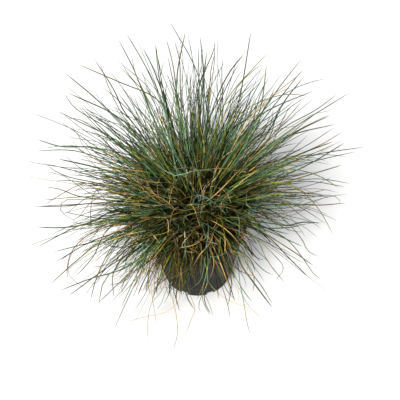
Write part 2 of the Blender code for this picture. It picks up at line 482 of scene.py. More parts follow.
@dataclass(frozen=True)
class LeafTints:
    """The colours that a blade passes through as it ages, its waxy bloom, and the painted light and shade
    laid over them.
    """

    glaucous: Colour = (0.048, 0.122, 0.066)
    green: Colour = (0.072, 0.150, 0.013)
    young: Colour = (0.185, 0.262, 0.008)
    yellowing: Colour = (0.420, 0.260, 0.026)
    straw: Colour = (0.440, 0.300, 0.135)
    dead: Colour = (0.170, 0.084, 0.028)
    bloom: Colour = (0.172, 0.285, 0.242)
    sheath: Colour = (0.250, 0.185, 0.050)
    outskirts: tuple[float, float] = (0.070, 0.125)

    def distance(self, board: Board) -> Socket:
        """Work out how far a point is from the thick of the crown's foot, heights counted 1.1 times.

        Args:
            board: the group's board.

        Returns:
            The distance in metres.
        """
        scale, shift = (1.0, 1.0, 1.1), (0.002, -0.007, -1.1 * LAYOUT.mix_top)
        moved = board.fed("ShaderNodeVectorMath", board.place(), scale, shift, operation="MULTIPLY_ADD")
        return board.length(moved.outputs[0])

    def age(self, board: Board, given: dict[str, Socket], patches: Socket) -> Socket:
        """Work out a point's age: the blade's own, and more in patches, in lanes and at some tips.

        Args:
            board: the group's board.
            given: the group's inputs.
            patches: broad patches of noise.

        Returns:
            The age, 0 for fresh and 1 for dead.
        """
        tip = board.spread(given["Along"], 0.80, 1.0, 0.0, 0.40)
        tip = board.product(tip, board.maths("POWER", given["Tone"], 3.0))
        lane = board.fed(
            "ShaderNodeCombineXYZ", board.product(given["Along"], 5.0), board.product(given["Tone"], 90.0)
        )
        blotches = board.spread(board.noise_over(lane.outputs[0], 1.0, 1.0), 0.62, 0.68, 0.0, 0.42)
        drift = board.maths("ADD", board.spread(patches, 0.35, 0.70, -0.07, 0.12), blotches)
        return board.maths("ADD", board.maths("ADD", given["Age"], tip), drift, clamp=True)

    def shade(self, board: Board, given: dict[str, Socket], fibres: Socket) -> Socket:
        """Work out a point's painted light and shade: painted shade deep in the clump, at a blade's foot
        and towards its tip, painted highlights on bright-toned blades, and streaks.

        Args:
            board: the group's board.
            given: the group's inputs.
            fibres: fine noise that is drawn out upwards.

        Returns:
            What the blade's colour is multiplied by.
        """
        distance = self.distance(board)
        # Painted light: near the crown the tones get harder contrast and brighter highlights, and far out a
        # floor lifts the darkest blades.
        power = board.spread(distance, *self.outskirts, 3.0, 1.4)
        gain = board.spread(distance, *self.outskirts, 3.8, 2.1)
        least = board.spread(distance, *self.outskirts, 0.02, 0.16)
        shade = board.product(board.maths("POWER", given["Tone"], power), gain)
        # Painted shade in place of shadow in the clump: darker at a blade's foot, towards its tip and
        # nearer the crown's foot.
        shade = board.product(
            board.maths("ADD", shade, least),
            board.spread(fibres, 0.3, 0.7, 0.82, 1.12),
            board.spread(given["Along"], 0.0, 0.34, 0.12, 1.10),
            board.spread(given["Along"], 0.30, 0.80, 1.0, 0.22),
            board.spread(distance, 0.039, 0.101, 0.04, 1.14),
        )
        return board.maths("MINIMUM", shade, 1.7)

    def group(self) -> bpy.types.NodeTree:
        """Build the node group that colours a blade by its age and the place along it, with painted shade
        and highlights.

        Returns:
            A group that takes Age, Along, Bloom and Tone and gives Color, Roughness and Height.
        """
        board, given, made = start_group(
            "blade_ageing_and_shade",
            {name: "Float" for name in BLADE_LOOKS},
            {"Color": "Color", "Roughness": "Float", "Height": "Float"},
        )
        patches = board.noise(160.0, 2.0)
        fibres = board.noise(900.0, 3.0, (1.0, 1.0, 0.25))
        age = self.age(board, given, patches)
        stops = (
            (0.0, self.glaucous),
            (0.25, self.green),
            (0.43, self.young),
            (0.62, self.yellowing),
            (0.80, self.straw),
            (1.0, self.dead),
        )
        waxy = board.product(given["Bloom"], board.spread(patches, 0.25, 0.65, 1.0, 0.45))
        paled = board.spread(given["Along"], 0.32, 0.80, 0.0, 0.34)
        paled = board.product(paled, board.spread(age, 0.40, 0.60, 1.0, 0.15))
        colour = board.blend(board.maths("MAXIMUM", waxy, paled), board.ramp(age, stops), self.bloom)
        foot = board.spread(given["Along"], 0.04, 0.36, 0.80, 0.0)
        colour = board.blend(foot, colour, self.sheath)
        # Painted shade and highlights, warmer where darkened and bluer where brightened.
        shade = self.shade(board, given, fibres)
        warm_shade = board.colour(shade, shade, board.maths("POWER", shade, 1.3))
        board.feed(made["Color"], board.blend(1.0, colour, warm_shade, "MULTIPLY"))
        board.feed(made["Roughness"], board.spread(age, 0.2, 0.9, 0.42, 0.72))
        board.feed(made["Height"], fibres)
        return board.tree


@dataclass(frozen=True)
class BladeFinish:
    """The finish of the blades: waxy when fresh, papery when dry."""

    name: str
    ageing_and_shade: bpy.types.NodeTree
    specular: float = 0.08

    def material(self) -> bpy.types.Material:
        """Build the material, which reads the blades' own attributes.

        Returns:
            The material.
        """
        board = MaterialBoard(self.name)
        leaf = board.group(self.ageing_and_shade, **{name: board.attribute(name.lower()) for name in BLADE_LOOKS})
        # The colour carries the group's painted shade and highlights.
        board.feed(board.shader["Base Color"], leaf["Color"])
        board.feed(board.shader["Roughness"], leaf["Roughness"])
        board.shader["Specular IOR Level"].default_value = self.specular
        board.bump(leaf["Height"], 0.25, 0.0002)
        return board.material


@dataclass(frozen=True)
class EarthGroup:
    """Crumbs of peat and bark: patches of colour and height that several finishes share."""

    cells: float = 420.0

    def group(self) -> bpy.types.NodeTree:
        """Build the node group of crumbs.

        Returns:
            A group that takes Dark, Light and Fleck colours and gives Color and Height.
        """
        board, given, made = start_group(
            "crumbs",
            {"Dark": "Color", "Light": "Color", "Fleck": "Color"},
            {"Color": "Color", "Height": "Float"},
        )
        cells = board.fed("ShaderNodeTexVoronoi", board.place())
        cells.inputs["Scale"].default_value = self.cells
        split = board.fed("ShaderNodeSeparateColor", cells.outputs["Color"])
        broad = board.noise(90.0, 4.0)
        fine = board.noise(1300.0, 3.0)
        lightness = board.maths("MULTIPLY", split.outputs[0], board.spread(broad, 0.3, 0.7, 0.3, 1.0))
        colour = board.blend(lightness, given["Dark"], given["Light"])
        flecks = board.spread(split.outputs[1], 0.93, 0.96, 0.0, 0.9)
        colour = board.blend(flecks, colour, given["Fleck"])
        height = board.maths("SUBTRACT", board.maths("MULTIPLY", fine, 0.5), cells.outputs["Distance"])
        board.feed(made["Color"], colour)
        board.feed(made["Height"], height)
        return board.tree


@dataclass(frozen=True)
class EarthFinish:
    """A matt, crumbly finish for the potting mix, its chips and the thatch."""

    name: str
    crumbs: bpy.types.NodeTree
    dark: Colour
    light: Colour
    fleck: Colour
    relief: float = 0.0012

    def material(self) -> bpy.types.Material:
        """Build the material, rougher in its hollows.

        Returns:
            The material.
        """
        board = MaterialBoard(self.name)
        earth = board.group(self.crumbs, Dark=self.dark, Light=self.light, Fleck=self.fleck)
        board.feed(board.shader["Base Color"], earth["Color"])
        rough = board.spread(earth["Height"], -0.5, 0.5, 0.99, 0.82)
        board.feed(board.shader["Roughness"], rough)
        board.shader["Specular IOR Level"].default_value = 0.2
        board.bump(earth["Height"], 0.9, self.relief)
        return board.material


@dataclass(frozen=True)
class DustyPlasticFinish:
    """Black moulded plastic with a low sheen, scuffs, and dried soil towards rim and foot."""

    name: str = "black_pot_plastic"
    plastic: Colour = (0.0105, 0.0105, 0.0115)
    worn: Colour = (0.020, 0.020, 0.021)
    dust: Colour = (0.115, 0.092, 0.068)

    def material(self) -> bpy.types.Material:
        """Build the material: streaks of wear under a film of dust, thick low down and at the rim.

        Returns:
            The material.
        """
        board = MaterialBoard(self.name)
        height = board.fed("ShaderNodeSeparateXYZ", board.place()).outputs[2]
        clouds = board.noise(42.0, 5.0)
        specks = board.noise(700.0, 3.0)
        streaks = board.noise(130.0, 4.0, (1.0, 1.0, 0.12))
        worn = board.spread(streaks, 0.52, 0.78, 0.0, 0.75)
        low = board.spread(height, 0.0, 0.030, 0.45, 0.05)
        high = board.spread(height, 0.070, 0.092, 0.0, 0.18)
        film = board.product(
            board.maths("ADD", low, high),
            board.spread(clouds, 0.42, 0.68, 0.0, 1.0),
            board.spread(specks, 0.35, 0.65, 0.25, 1.0),
        )
        colour = board.blend(film, board.blend(worn, self.plastic, self.worn), self.dust)
        board.feed(board.shader["Base Color"], colour)
        rough = board.maths("ADD", board.spread(clouds, 0.3, 0.7, 0.50, 0.64), board.product(film, 0.5))
        board.feed(board.shader["Roughness"], rough)
        board.shader["Specular IOR Level"].default_value = 0.14
        board.bump(board.maths("ADD", specks, streaks), 0.25, 0.0002)
        return board.material


@dataclass(frozen=True)
class FloorFinish:
    """A plain pale finish for the floor, which fades into the white backdrop far from the pot."""

    name: str = "pale_floor"
    colour: Colour = (0.61, 0.61, 0.615)
    roughness: float = 0.85
    fade: tuple[float, float] = (0.36, 0.90)

    def material(self) -> bpy.types.Material:
        """Build the material: a faint mottle, and a glow far out that lights nothing.

        Returns:
            The material.
        """
        board = MaterialBoard(self.name)
        mottle = board.spread(board.noise(3.0, 2.0), 0.3, 0.7, 0.985, 1.0)
        levels = [board.product(mottle, level) for level in self.colour]
        board.feed(board.shader["Base Color"], board.colour(*levels))
        board.shader["Roughness"].default_value = self.roughness
        faded = board.spread(board.length(board.place()), *self.fade, 0.0, 1.0)
        seen = board.node("ShaderNodeLightPath").outputs["Is Camera Ray"]
        board.feed(board.shader["Emission Color"], board.product(faded, seen))
        board.shader["Emission Strength"].default_value = 1.0
        return board.material


def mesh_of(name: str, points: np.ndarray, faces: list[np.ndarray]) -> bpy.types.Mesh:
    """Put arrays of points and faces into a mesh.

    Args:
        name: the mesh's name.
        points: coordinates, shape (points, 3).
        faces: for each number of corners, the faces' point numbers, shape (faces, corners).

    Returns:
        The new mesh.
    """
    mesh = bpy.data.meshes.new(name)
    corners = np.concatenate([group.ravel() for group in faces])
    sizes = np.concatenate([np.full(len(group), group.shape[1]) for group in faces])
    mesh.vertices.add(len(points))
    mesh.vertices.foreach_set("co", points.astype(np.float32).ravel())
    mesh.loops.add(len(corners))
    mesh.loops.foreach_set("vertex_index", corners.astype(np.int32))
    mesh.polygons.add(len(sizes))
    mesh.polygons.foreach_set("loop_start", (np.cumsum(sizes) - sizes).astype(np.int32))
    mesh.update(calc_edges=True)
    return mesh


def link_new(name: str, data: bpy.types.ID) -> bpy.types.Object:
    """Make an object and put it in the scene.

    Args:
        name: the object's name.
        data: its mesh, camera or light.

    Returns:
        The object.
    """
    made = bpy.data.objects.new(name, data)
    bpy.context.scene.collection.objects.link(made)
    return made


def add_piece(
    mesh: bpy.types.Mesh, finish: bpy.types.Material, replaced: str = ""
) -> bpy.types.Object:
    """Link a mesh as a piece of the object that rides on the body.

    Args:
        mesh: the finished mesh, in place.
        finish: its material.
        replaced: the node that it stands for, or nothing.

    Returns:
        The piece.
    """
    mesh.materials.append(finish)
    mesh.shade_smooth()
    piece = link_new(mesh.name, mesh)
    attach(piece, "root")
    if replaced:
        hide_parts(replaced)
    LOG.info("%s: %d faces", piece.name, len(mesh.polygons))
    return piece


def grid_quads(rows: int, columns: int, wrap: bool = True) -> np.ndarray:
    """Quads between the points of a grid, numbered row by row.

    Args:
        rows: points down.
        columns: points across.
        wrap: whether the last column joins the first.

    Returns:
        Point numbers, shape (cell rows, cell columns, 4).
    """
    down = np.arange(rows - 1)[:, None]
    across = np.arange(columns if wrap else columns - 1)[None, :]
    beside = (across + 1) % columns
    corner = down * columns + across
    next_corner = down * columns + beside
    return np.stack((corner, next_corner, next_corner + columns, corner + columns), -1)


def grid_mesh(name: str, points: np.ndarray, wrap: bool = True) -> bpy.types.Mesh:
    """Put a grid of points, shape (rows, columns, 3), into a mesh of quads."""
    quads = grid_quads(*points.shape[:2], wrap).reshape(-1, 4)
    return mesh_of(name, points.reshape(-1, 3), [quads])


def turned(radius: np.ndarray, height: np.ndarray, columns: int) -> np.ndarray:
    """Turn an outline about the vertical axis.

    Args:
        radius: how far each of its points is from the axis.
        height: how high each of them is.
        columns: places round the axis.

    Returns:
        Points, shape (outline points, columns, 3).
    """
    turn = np.arange(columns) * TAU / columns
    radius = radius[:, None]
    heights = np.repeat(height[:, None], columns, 1)
    return np.stack((radius * np.cos(turn), radius * np.sin(turn), heights), -1)


def drawn(chance: np.random.Generator, count: int, **spans: tuple[float, float]) -> dict[str, np.ndarray]:
    """Draw a number for each blade and each name, evenly within the name's span."""
    return {name: chance.uniform(*span, count) for name, span in spans.items()}


def ages(
    chance: np.random.Generator, is_fresh: np.ndarray, fresh: tuple[float, float], dry: tuple[float, float]
) -> np.ndarray:
    """Draw ages from one span for the fresh blades and from another for the dry ones."""
    count = len(is_fresh)
    return np.where(is_fresh, chance.uniform(*fresh, count), chance.uniform(*dry, count))


@dataclass
class BladeRows:
    """Many blades at once: each array has one row for each blade."""

    roots: np.ndarray
    rising: np.ndarray
    ending: np.ndarray
    length: np.ndarray
    width: np.ndarray
    bend: np.ndarray
    curl: np.ndarray
    pace: np.ndarray
    twist: np.ndarray
    age: np.ndarray
    bloom: np.ndarray
    tone: np.ndarray

    @staticmethod
    def together(parts: list["BladeRows"]) -> "BladeRows":
        """Join several sets of blades into one."""
        names = BladeRows.__dataclass_fields__
        return BladeRows(**{name: np.concatenate([getattr(p, name) for p in parts]) for name in names})

    def middles(self, steps: int) -> np.ndarray:
        """The blades' middle lines.

        The direction turns from rising to ending as the share of the length to the power bend,
        with a sideways wave of size curl that grows along the blade. The points are the running
        sum of the directions times the step length.

        Args:
            steps: pieces along each blade.

        Returns:
            Points, shape (blades, steps + 1, 3).
        """
        share = (np.arange(steps) + 0.5) / steps
        turn = (share[None, :] ** self.bend[:, None])[..., None]
        side = unit(np.cross(self.rising, self.ending) + 1e-4 * UP)
        phase = TAU * self.pace[:, None] * share + self.tone[:, None] * TAU
        wave = self.curl[:, None] * share * np.sin(phase)
        run = unit(self.rising[:, None] * (1.0 - turn) + self.ending[:, None] * turn)
        run = unit(run + side[:, None] * wave[..., None])
        strides = np.cumsum(run * (self.length[:, None, None] / steps), axis=1)
        return np.concatenate((self.roots[:, None], self.roots[:, None] + strides), axis=1)


def clear_of_pot(
    points: np.ndarray, clearance: float = 0.0012, rim_inset: float = 0.004, rim_depth: float = 0.016
) -> np.ndarray:
    """Keep blades out of the pot's wall and off the floor.

    A point over the rim is raised above it, one beside the wall is moved straight out to it, and
    none goes lower than twice the clearance.

    Args:
        points: blade points, shape (..., 3).
        clearance: the least distance kept.
        rim_inset: how far inside the rim's neck the rise over it is complete.
        rim_depth: how far below the rim a point still counts as over it.

    Returns:
        The moved points.
    """
    moved = points.copy()
    radius = np.hypot(points[..., 0], points[..., 1])
    rim_inner = LAYOUT.rim_radius - LAYOUT.rim_band_step - rim_inset
    rise = smooth_step(LAYOUT.crown_radius, rim_inner, radius)
    over = LAYOUT.mix_top + rise * (LAYOUT.pot_height + clearance - LAYOUT.mix_top)
    near_rim = (radius > LAYOUT.crown_radius) & (radius < LAYOUT.rim_radius + clearance)
    near_rim &= points[..., 2] > LAYOUT.pot_height - rim_depth
    moved[..., 2] = np.where(near_rim, np.maximum(points[..., 2], over), points[..., 2])
    banded = moved[..., 2] > LAYOUT.pot_height - LAYOUT.rim_band_height - clearance
    wall = np.where(banded, LAYOUT.rim_radius, LAYOUT.wall_radius(moved[..., 2])) + clearance
    beside = (moved[..., 2] < LAYOUT.pot_height + 0.5 * clearance) & (radius > rim_inner) & (radius < wall)
    push = np.where(beside, wall / np.maximum(radius, 1e-6), 1.0)
    moved[..., :2] *= push[..., None]
    moved[..., 2] = np.maximum(moved[..., 2], 2.0 * clearance)
    return moved


def within_reach(points: np.ndarray, share: float = 0.02, extra: float = 0.007) -> np.ndarray:
    """Shrink blades towards their roots until they stay near the frame's box.

    Each blade's offsets from its root are scaled by the least share, over its points and the
    three axes, of the room on that side to the offset.

    Args:
        points: blade points, shape (blades, points, 3).
        share: how far past the box they may go, as a share of its size.
        extra: and as a length besides.

    Returns:
        The scaled points.
    """
    low, high = (np.array(corner) for corner in CAD_BOX)
    margin = (high - low) * share + extra
    root = points[:, :1]
    offset = points - root
    room = np.where(offset > 0.0, high + margin - root, root - low + margin)
    scale = np.min(room / np.maximum(np.abs(offset), 1e-6), axis=(1, 2))
    return root + offset * np.minimum(scale, 1.0)[:, None, None]


@dataclass
class Ribbons:
    """Blades ready to be given a section: each array has one row for each blade."""

    middles: np.ndarray
    hints: np.ndarray
    width: np.ndarray
    twist: np.ndarray
    looks: dict[str, np.ndarray]
    span: tuple[float, float] = (0.0, 1.0)

    def mesh(self, name: str) -> bpy.types.Mesh:
        """Give each middle line a keeled three-cornered section that narrows to a point.

        The section's corners are a keel below and an edge each side, so a blade is a shallow
        closed gutter. Its width swells a little at the sheath and falls as the root of one less
        the share of the length to the power 12. The section turns about the line by the twist.

        Args:
            name: the mesh's name.

        Returns:
            One mesh with the looks as attributes, the share of the length as the attribute
            along, and a strip of the bake's map for each blade.
        """
        middles = clear_of_pot(within_reach(self.middles))
        count, steps = middles.shape[0], middles.shape[1] - 1
        tangents = unit(np.gradient(middles, axis=1))
        side = self.hints[:, None]
        side = unit(side - tangents * np.sum(side * tangents, -1, keepdims=True))
        normal = np.cross(tangents, side)
        share = np.arange(steps + 1) / steps
        angle = (self.twist[:, None] * (share + 3.0 * self.looks["tone"][:, None]))[..., None]
        across = side * np.cos(angle) + normal * np.sin(angle)
        below = normal * np.cos(angle) - side * np.sin(angle)
        swell = 1.0 + 0.25 * np.exp(-share / 0.05) + 0.20 * (1.0 - share)
        width = self.width[:, None] * (swell * np.sqrt(np.clip(1.0 - share**12, 0.0, 1.0)))
        section = np.array(((0.0, -0.42), (0.5, 0.16), (-0.5, 0.16)))
        corners = middles[:, :-1, None] + width[:, :-1, None, None] * (
            across[:, :-1, None] * section[:, :1] + below[:, :-1, None] * section[:, 1:]
        )
        per_blade = 3 * steps + 1
        points = np.concatenate((corners.reshape(count, -1, 3), middles[:, -1:]), axis=1)
        quads = grid_quads(steps, 3).reshape(-1, 4)
        last = 3 * (steps - 1)
        tips = np.array([(last + k, last + (k + 1) % 3, 3 * steps) for k in range(3)])
        foot = np.array([(2, 1, 0)])
        shift = (np.arange(count) * per_blade)[:, None, None]
        faces = [(quads + shift).reshape(-1, 4), (np.concatenate((tips, foot)) + shift).reshape(-1, 3)]
        mesh = mesh_of(name, points.reshape(-1, 3), faces)
        station = np.append(np.repeat(np.arange(steps), 3), steps)
        along = self.span[0] + (self.span[1] - self.span[0]) * share
        for label, rows in {**self.looks, "along": np.tile(along, (count, 1))}.items():
            spread = rows if rows.ndim == 2 else np.repeat(rows[:, None], steps + 1, 1)
            set_values(mesh, label, spread[:, station].ravel())
        lay_strips(mesh, count, steps)
        return mesh


def sweep_blades(
    name: str, blades: BladeRows, steps: int = 12, span: tuple[float, float] = (0.0, 1.0)
) -> bpy.types.Mesh:
    """Make one mesh of drawn blades.

    Args:
        name: the mesh's name.
        blades: the blades.
        steps: pieces along each blade.
        span: the part of a whole blade's colouring that they have, from root to tip.

    Returns:
        The mesh.
    """
    looks = {"age": blades.age, "bloom": blades.bloom, "tone": blades.tone}
    hints = unit(np.cross(blades.rising, blades.ending) + 1e-4 * UP)
    return Ribbons(blades.middles(steps), hints, blades.width, blades.twist, looks, span).mesh(name)


@dataclass(frozen=True)
class Strand:
    """One blade that the eye picks out: its width in millimetres and path in metres.

    The path starts at the foot, and the age is given at the foot and at the tip.
    """

    width: float
    foot_age: float
    tip_age: float
    bloom: float
    path: np.ndarray

    def middle(self, steps: int) -> np.ndarray:
        """The blade's middle line, a cubic curve through the path's points.

        Between two points it is the Hermite cubic with the slopes of the central differences
        over the chords, taken at even shares of the path.

        Args:
            steps: pieces along the blade.

        Returns:
            Points in metres, shape (steps + 1, 3).
        """
        points = self.path
        knots = np.concatenate(((0.0,), np.cumsum(np.linalg.norm(np.diff(points, axis=0), axis=1))))
        slopes = np.gradient(points, knots, axis=0)
        place = np.linspace(0.0, knots[-1], steps + 1)
        near = np.clip(np.searchsorted(knots, place, side="right") - 1, 0, len(knots) - 2)
        span = (knots[near + 1] - knots[near])[:, None]
        share = ((place - knots[near])[:, None]) / span
        start = points[near] * (1.0 + 2.0 * share) * (1.0 - share) ** 2
        start = start + slopes[near] * span * share * (1.0 - share) ** 2
        end = points[near + 1] * share**2 * (3.0 - 2.0 * share)
        return start + end + slopes[near + 1] * span * share**2 * (share - 1.0)


def first_hit(start: np.ndarray, rays: np.ndarray, radius: np.ndarray | float) -> np.ndarray:
    """Where rays first meet a ball or a round post about the origin.

    Args:
        start: where the rays start, in space for a ball and in the plan for a post.
        rays: their directions, one row each.
        radius: of the ball or the post, which may differ from ray to ray.

    Returns:
        How many times its own length each ray goes, and no number where it misses.
    """
    square = (rays * rays).sum(axis=1)
    towards = rays @ start
    inside = towards**2 - square * (start @ start - np.square(radius))
    return (-towards - np.sqrt(np.where(inside < 0.0, np.nan, inside))) / square


def thinned(path: np.ndarray, gap: float) -> np.ndarray:
    """Leave out the points of a path that lie within a gap of the line between kept ones.

    Args:
        path: the path's points.
        gap: how far from that line a point may lie and still be left out.

    Returns:
        The points that are kept.
    """

    def between(first: int, last: int) -> list[int]:
        """Find the points to keep between two kept ones.

        Args:
            first: the number of the one.
            last: the number of the other.

        Returns:
            The numbers of the point that lies furthest off, and of those beside it.
        """
        if last <= first + 1:
            return []
        chord = path[last] - path[first]
        steps = path[first + 1 : last] - path[first]
        gaps = np.linalg.norm(steps - np.outer(steps @ chord / (chord @ chord), chord), axis=1)
        if gaps.max() <= gap:
            return []
        widest = first + 1 + int(np.argmax(gaps))
        return [*between(first, widest), widest, *between(widest, last)]

    return path[[0, *between(0, len(path) - 1), len(path) - 1]]


@dataclass(frozen=True)
class BladeTracer:
    """Gives blades that were followed one by one in the photograph their places in space.

    A picture doesn't show how near a blade hangs. So a long blade runs in an even arch from the
    dome to its tip, and a near one keeps its heights over the dome, or hangs before the rim.
    Those heights are lifted by a factor that depends on the picture row, and raised further,
    the tip most, until the blade clears the floor. The letters of the colours are green, teal,
    yellow green, orange, straw and brown.
    """

    view: PhotoView
    layout: FrameLayout
    colour_letters: str = "GTYOSB"
    foot_ages: tuple[float, ...] = (0.20, 0.05, 0.40, 0.60, 0.78, 0.90)
    tip_ages: tuple[float, ...] = (0.26, 0.10, 0.46, 0.72, 0.84, 0.97)
    crown_middle: tuple[float, float] = (197.0, 207.0)
    dome_middle: tuple[float, float] = (197.0, 241.0)
    dome_edge: float = 50.0
    foot_depth: float = 0.002
    foot_spread: tuple[float, float] = (15.0, 28.0)
    foot_scatter: tuple[tuple[float, float], ...] = ((-5.0, 5.0), (-2.0, 6.0))
    arch: float = 0.006
    gap: float = 0.0009
    rim_row: float = 235.0
    rim_clearance: float = 0.002
    rim_flare: float = 0.6
    lift_rows: tuple[float, ...] = (165.0, 190.0, 205.0, 235.0, 262.0)
    lifts: tuple[float, ...] = (2.6, 2.5, 2.6, 1.9, 1.15)
    lowest: float = 0.006
    raising: tuple[float, float, float] = (0.06, 0.0006, 1.5)
    airy_start: float = 0.005
    far_start: float = 60.0
    far_foot: float = 17.6
    far_drop: tuple[float, float] = (0.0, 3.0)
    pull_in: float = 0.75
    near_drop: tuple[float, float] = (0.0, 4.0)
    bow: float = 0.006
    seed: int = 5

    def foot(self, point: np.ndarray) -> tuple[np.ndarray, float]:
        """Find where a blade springs from the dome.

        Args:
            point: the picture point of the foot, which may lie beyond the dome's far edge.

        Returns:
            The point, moved in to the edge if it lies beyond it, and the foot's depth.
        """
        centre, radius = self.layout.dome_centre, self.layout.dome_radius - self.foot_depth
        depth = first_hit(self.view.eye - centre, self.view.rays(point[None]), radius)[0]
        if np.isnan(depth):
            offset = point - self.dome_middle
            point = self.dome_middle + offset * self.dome_edge / np.linalg.norm(offset)
            depth = first_hit(self.view.eye - centre, self.view.rays(point[None]), radius)[0]
        return point, float(depth)

    def long_path(self, tip_nearness: float, traced: np.ndarray, chance: random.Random) -> np.ndarray:
        """Lead a blade in an even arch from the dome to its tip.

        Args:
            tip_nearness: how much nearer than the aim the tip hangs, in metres.
            traced: its picture points, from the tip inwards.
            chance: the source of the scatter of the feet.

        Returns:
            The blade's path in space, from the foot to the tip.
        """
        offset = traced[-1] - self.crown_middle
        away = np.linalg.norm(offset)
        standing = self.crown_middle + offset / away * min(away, chance.uniform(*self.foot_spread))
        scatter = np.array([chance.uniform(*span) for span in self.foot_scatter])
        foot, foot_depth = self.foot(standing + scatter)
        picture = np.vstack((foot, traced[::-1]))
        walked = np.concatenate(((0.0,), np.cumsum(np.linalg.norm(np.diff(picture, axis=0), axis=1))))
        share = walked / walked[-1]
        depth = foot_depth + (self.view.distance - tip_nearness - foot_depth) * share
        return self.view.places(picture, depth - self.arch * 4.0 * share * (1.0 - share))

    def over_dome(self, traced: np.ndarray, heights: np.ndarray) -> np.ndarray:
        """Lay picture points at heights over the dome, or before the rim where that is nearer.

        Args:
            traced: the picture points of a blade.
            heights: their heights over the dome, in metres.

        Returns:
            Their places; where a ray misses both, its depth lies between its neighbours'.
        """
        rays = self.view.rays(traced)
        from_dome = self.view.eye - self.layout.dome_centre
        dome = first_hit(from_dome, rays, self.layout.dome_radius + heights)
        clear = self.layout.rim_radius + self.rim_clearance + np.maximum(heights, 0.0) * self.rim_flare
        rim = first_hit(self.view.eye[:2], rays[:, :2], clear)
        depth = np.fmin(dome, np.where(traced[:, 1] > self.rim_row, rim, np.nan))
        index = np.arange(len(depth))
        seen = ~np.isnan(depth)
        return self.view.places(traced, np.interp(index, index[seen], depth[seen]))

    def near_path(self, heights: tuple[float, ...], traced: np.ndarray) -> np.ndarray:
        """Lead a blade over the dome, and bring a foot that starts in the air down to the dome.

        Args:
            heights: its heights over the dome in metres, spread evenly along it, not yet lifted.
            traced: its picture points, from the foot outwards.

        Returns:
            The blade's path in space.
        """
        share = np.linspace(0.0, 1.0, len(traced))
        height = np.interp(share, np.linspace(0.0, 1.0, len(heights)), heights)
        height = height * np.interp(traced[:, 1], self.lift_rows, self.lifts)
        path = self.over_dome(traced, height)
        growth, step, power = self.raising
        while path[:, 2].min() <= self.lowest:
            height = height * (1.0 + growth * share**power) + step * share**power
            path = self.over_dome(traced, height)
        return path if height[0] <= self.airy_start else self.brought_down(traced[0], path)

    def brought_down(self, start: np.ndarray, path: np.ndarray) -> np.ndarray:
        """Lead a path that starts in the air down to a foot on the dome.

        Args:
            start: the picture point where the path starts.
            path: its points in space.

        Returns:
            The path from the foot on.
        """
        offset = start - self.crown_middle
        away = np.linalg.norm(offset)
        if away < self.far_start:
            below = self.crown_middle + offset * self.pull_in + self.near_drop
        else:
            below = self.crown_middle + offset * self.far_foot / away + self.far_drop
        point, depth = self.foot(below)
        foot = self.view.places(point[None], np.array((depth,)))[0]
        return np.vstack((foot, (foot + path[0]) / 2.0 + UP * self.bow, path))

    def strand(self, colours: str, width: float, bloom: float, path: np.ndarray) -> Strand:
        """Put one blade together.

        Args:
            colours: the letters of its colours at the foot and the tip.
            width: its width in millimetres.
            bloom: how waxy it is.
            path: its path, which is laid through whole millimetres.

        Returns:
            The blade.
        """
        foot, tip = (self.colour_letters.index(letter) for letter in colours)
        path = np.round(path * 1000.0) / 1000.0
        return Strand(width, self.foot_ages[foot], self.tip_ages[tip], bloom, path)

    def long_strands(self, rows: tuple[tuple, ...]) -> list[Strand]:
        """Trace the blades that make the clump's outline.

        Args:
            rows: their table.

        Returns:
            The blades, in its order.
        """
        chance = random.Random(self.seed)
        strands = []
        for colours, width, nearness, *picture in rows:
            path = self.long_path(nearness / 1000.0, np.reshape(picture, (-1, 2)), chance)
            bloom = 0.45 if colours[0] == "T" else 0.10
            strands.append(self.strand(colours, width, bloom, path))
        return strands

    def near_strands(self, rows: tuple[tuple, ...]) -> list[Strand]:
        """Trace the blades that bend and cross in front.

        Args:
            rows: their table.

        Returns:
            The blades, in its order.
        """
        strands = []
        for colours, width, heights, *picture in rows:
            path = self.near_path(tuple(h / 1000.0 for h in heights), np.reshape(picture, (-1, 2)))
            bloom = 0.75 if "T" in colours else 0.05
            strands.append(self.strand(colours, width, bloom, thinned(path, self.gap)))
        return strands


@dataclass
class SignatureBlades:
    """The blades that give the clump its outline, or that bend and cross in plain sight."""

    name: str
    strands: list[Strand]
    finish: bpy.types.Material
    tones: tuple[float, float] = (0.35, 0.85)
    span: tuple[float, float] = (0.0, 1.0)
    stoutness: float = 1.1
    steps: int = 20
    ageing_power: float = 1.5

    def build(self) -> None:
        """Sweep the strands into one piece."""
        count = len(self.strands)
        chance = np.random.default_rng(count)
        width, foot_age, tip_age, bloom = (
            np.array([getattr(strand, name) for strand in self.strands])
            for name in ("width", "foot_age", "tip_age", "bloom")
        )
        share = np.linspace(0.0, 1.0, self.steps + 1) ** self.ageing_power
        age = foot_age[:, None] + (tip_age - foot_age)[:, None] * share
        tone = chance.uniform(*self.tones, count)
        ribbons = Ribbons(
            middles=np.stack([strand.middle(self.steps) for strand in self.strands]),
            hints=unit(chance.normal(0.0, 1.0, (count, 3)) * 0.3 + UP),
            width=width * self.stoutness / 1000.0,
            twist=chance.uniform(-2.0, 2.0, count),
            looks={"age": age, "bloom": bloom, "tone": tone},
            span=self.span,
        )
        add_piece(ribbons.mesh(self.name), self.finish)
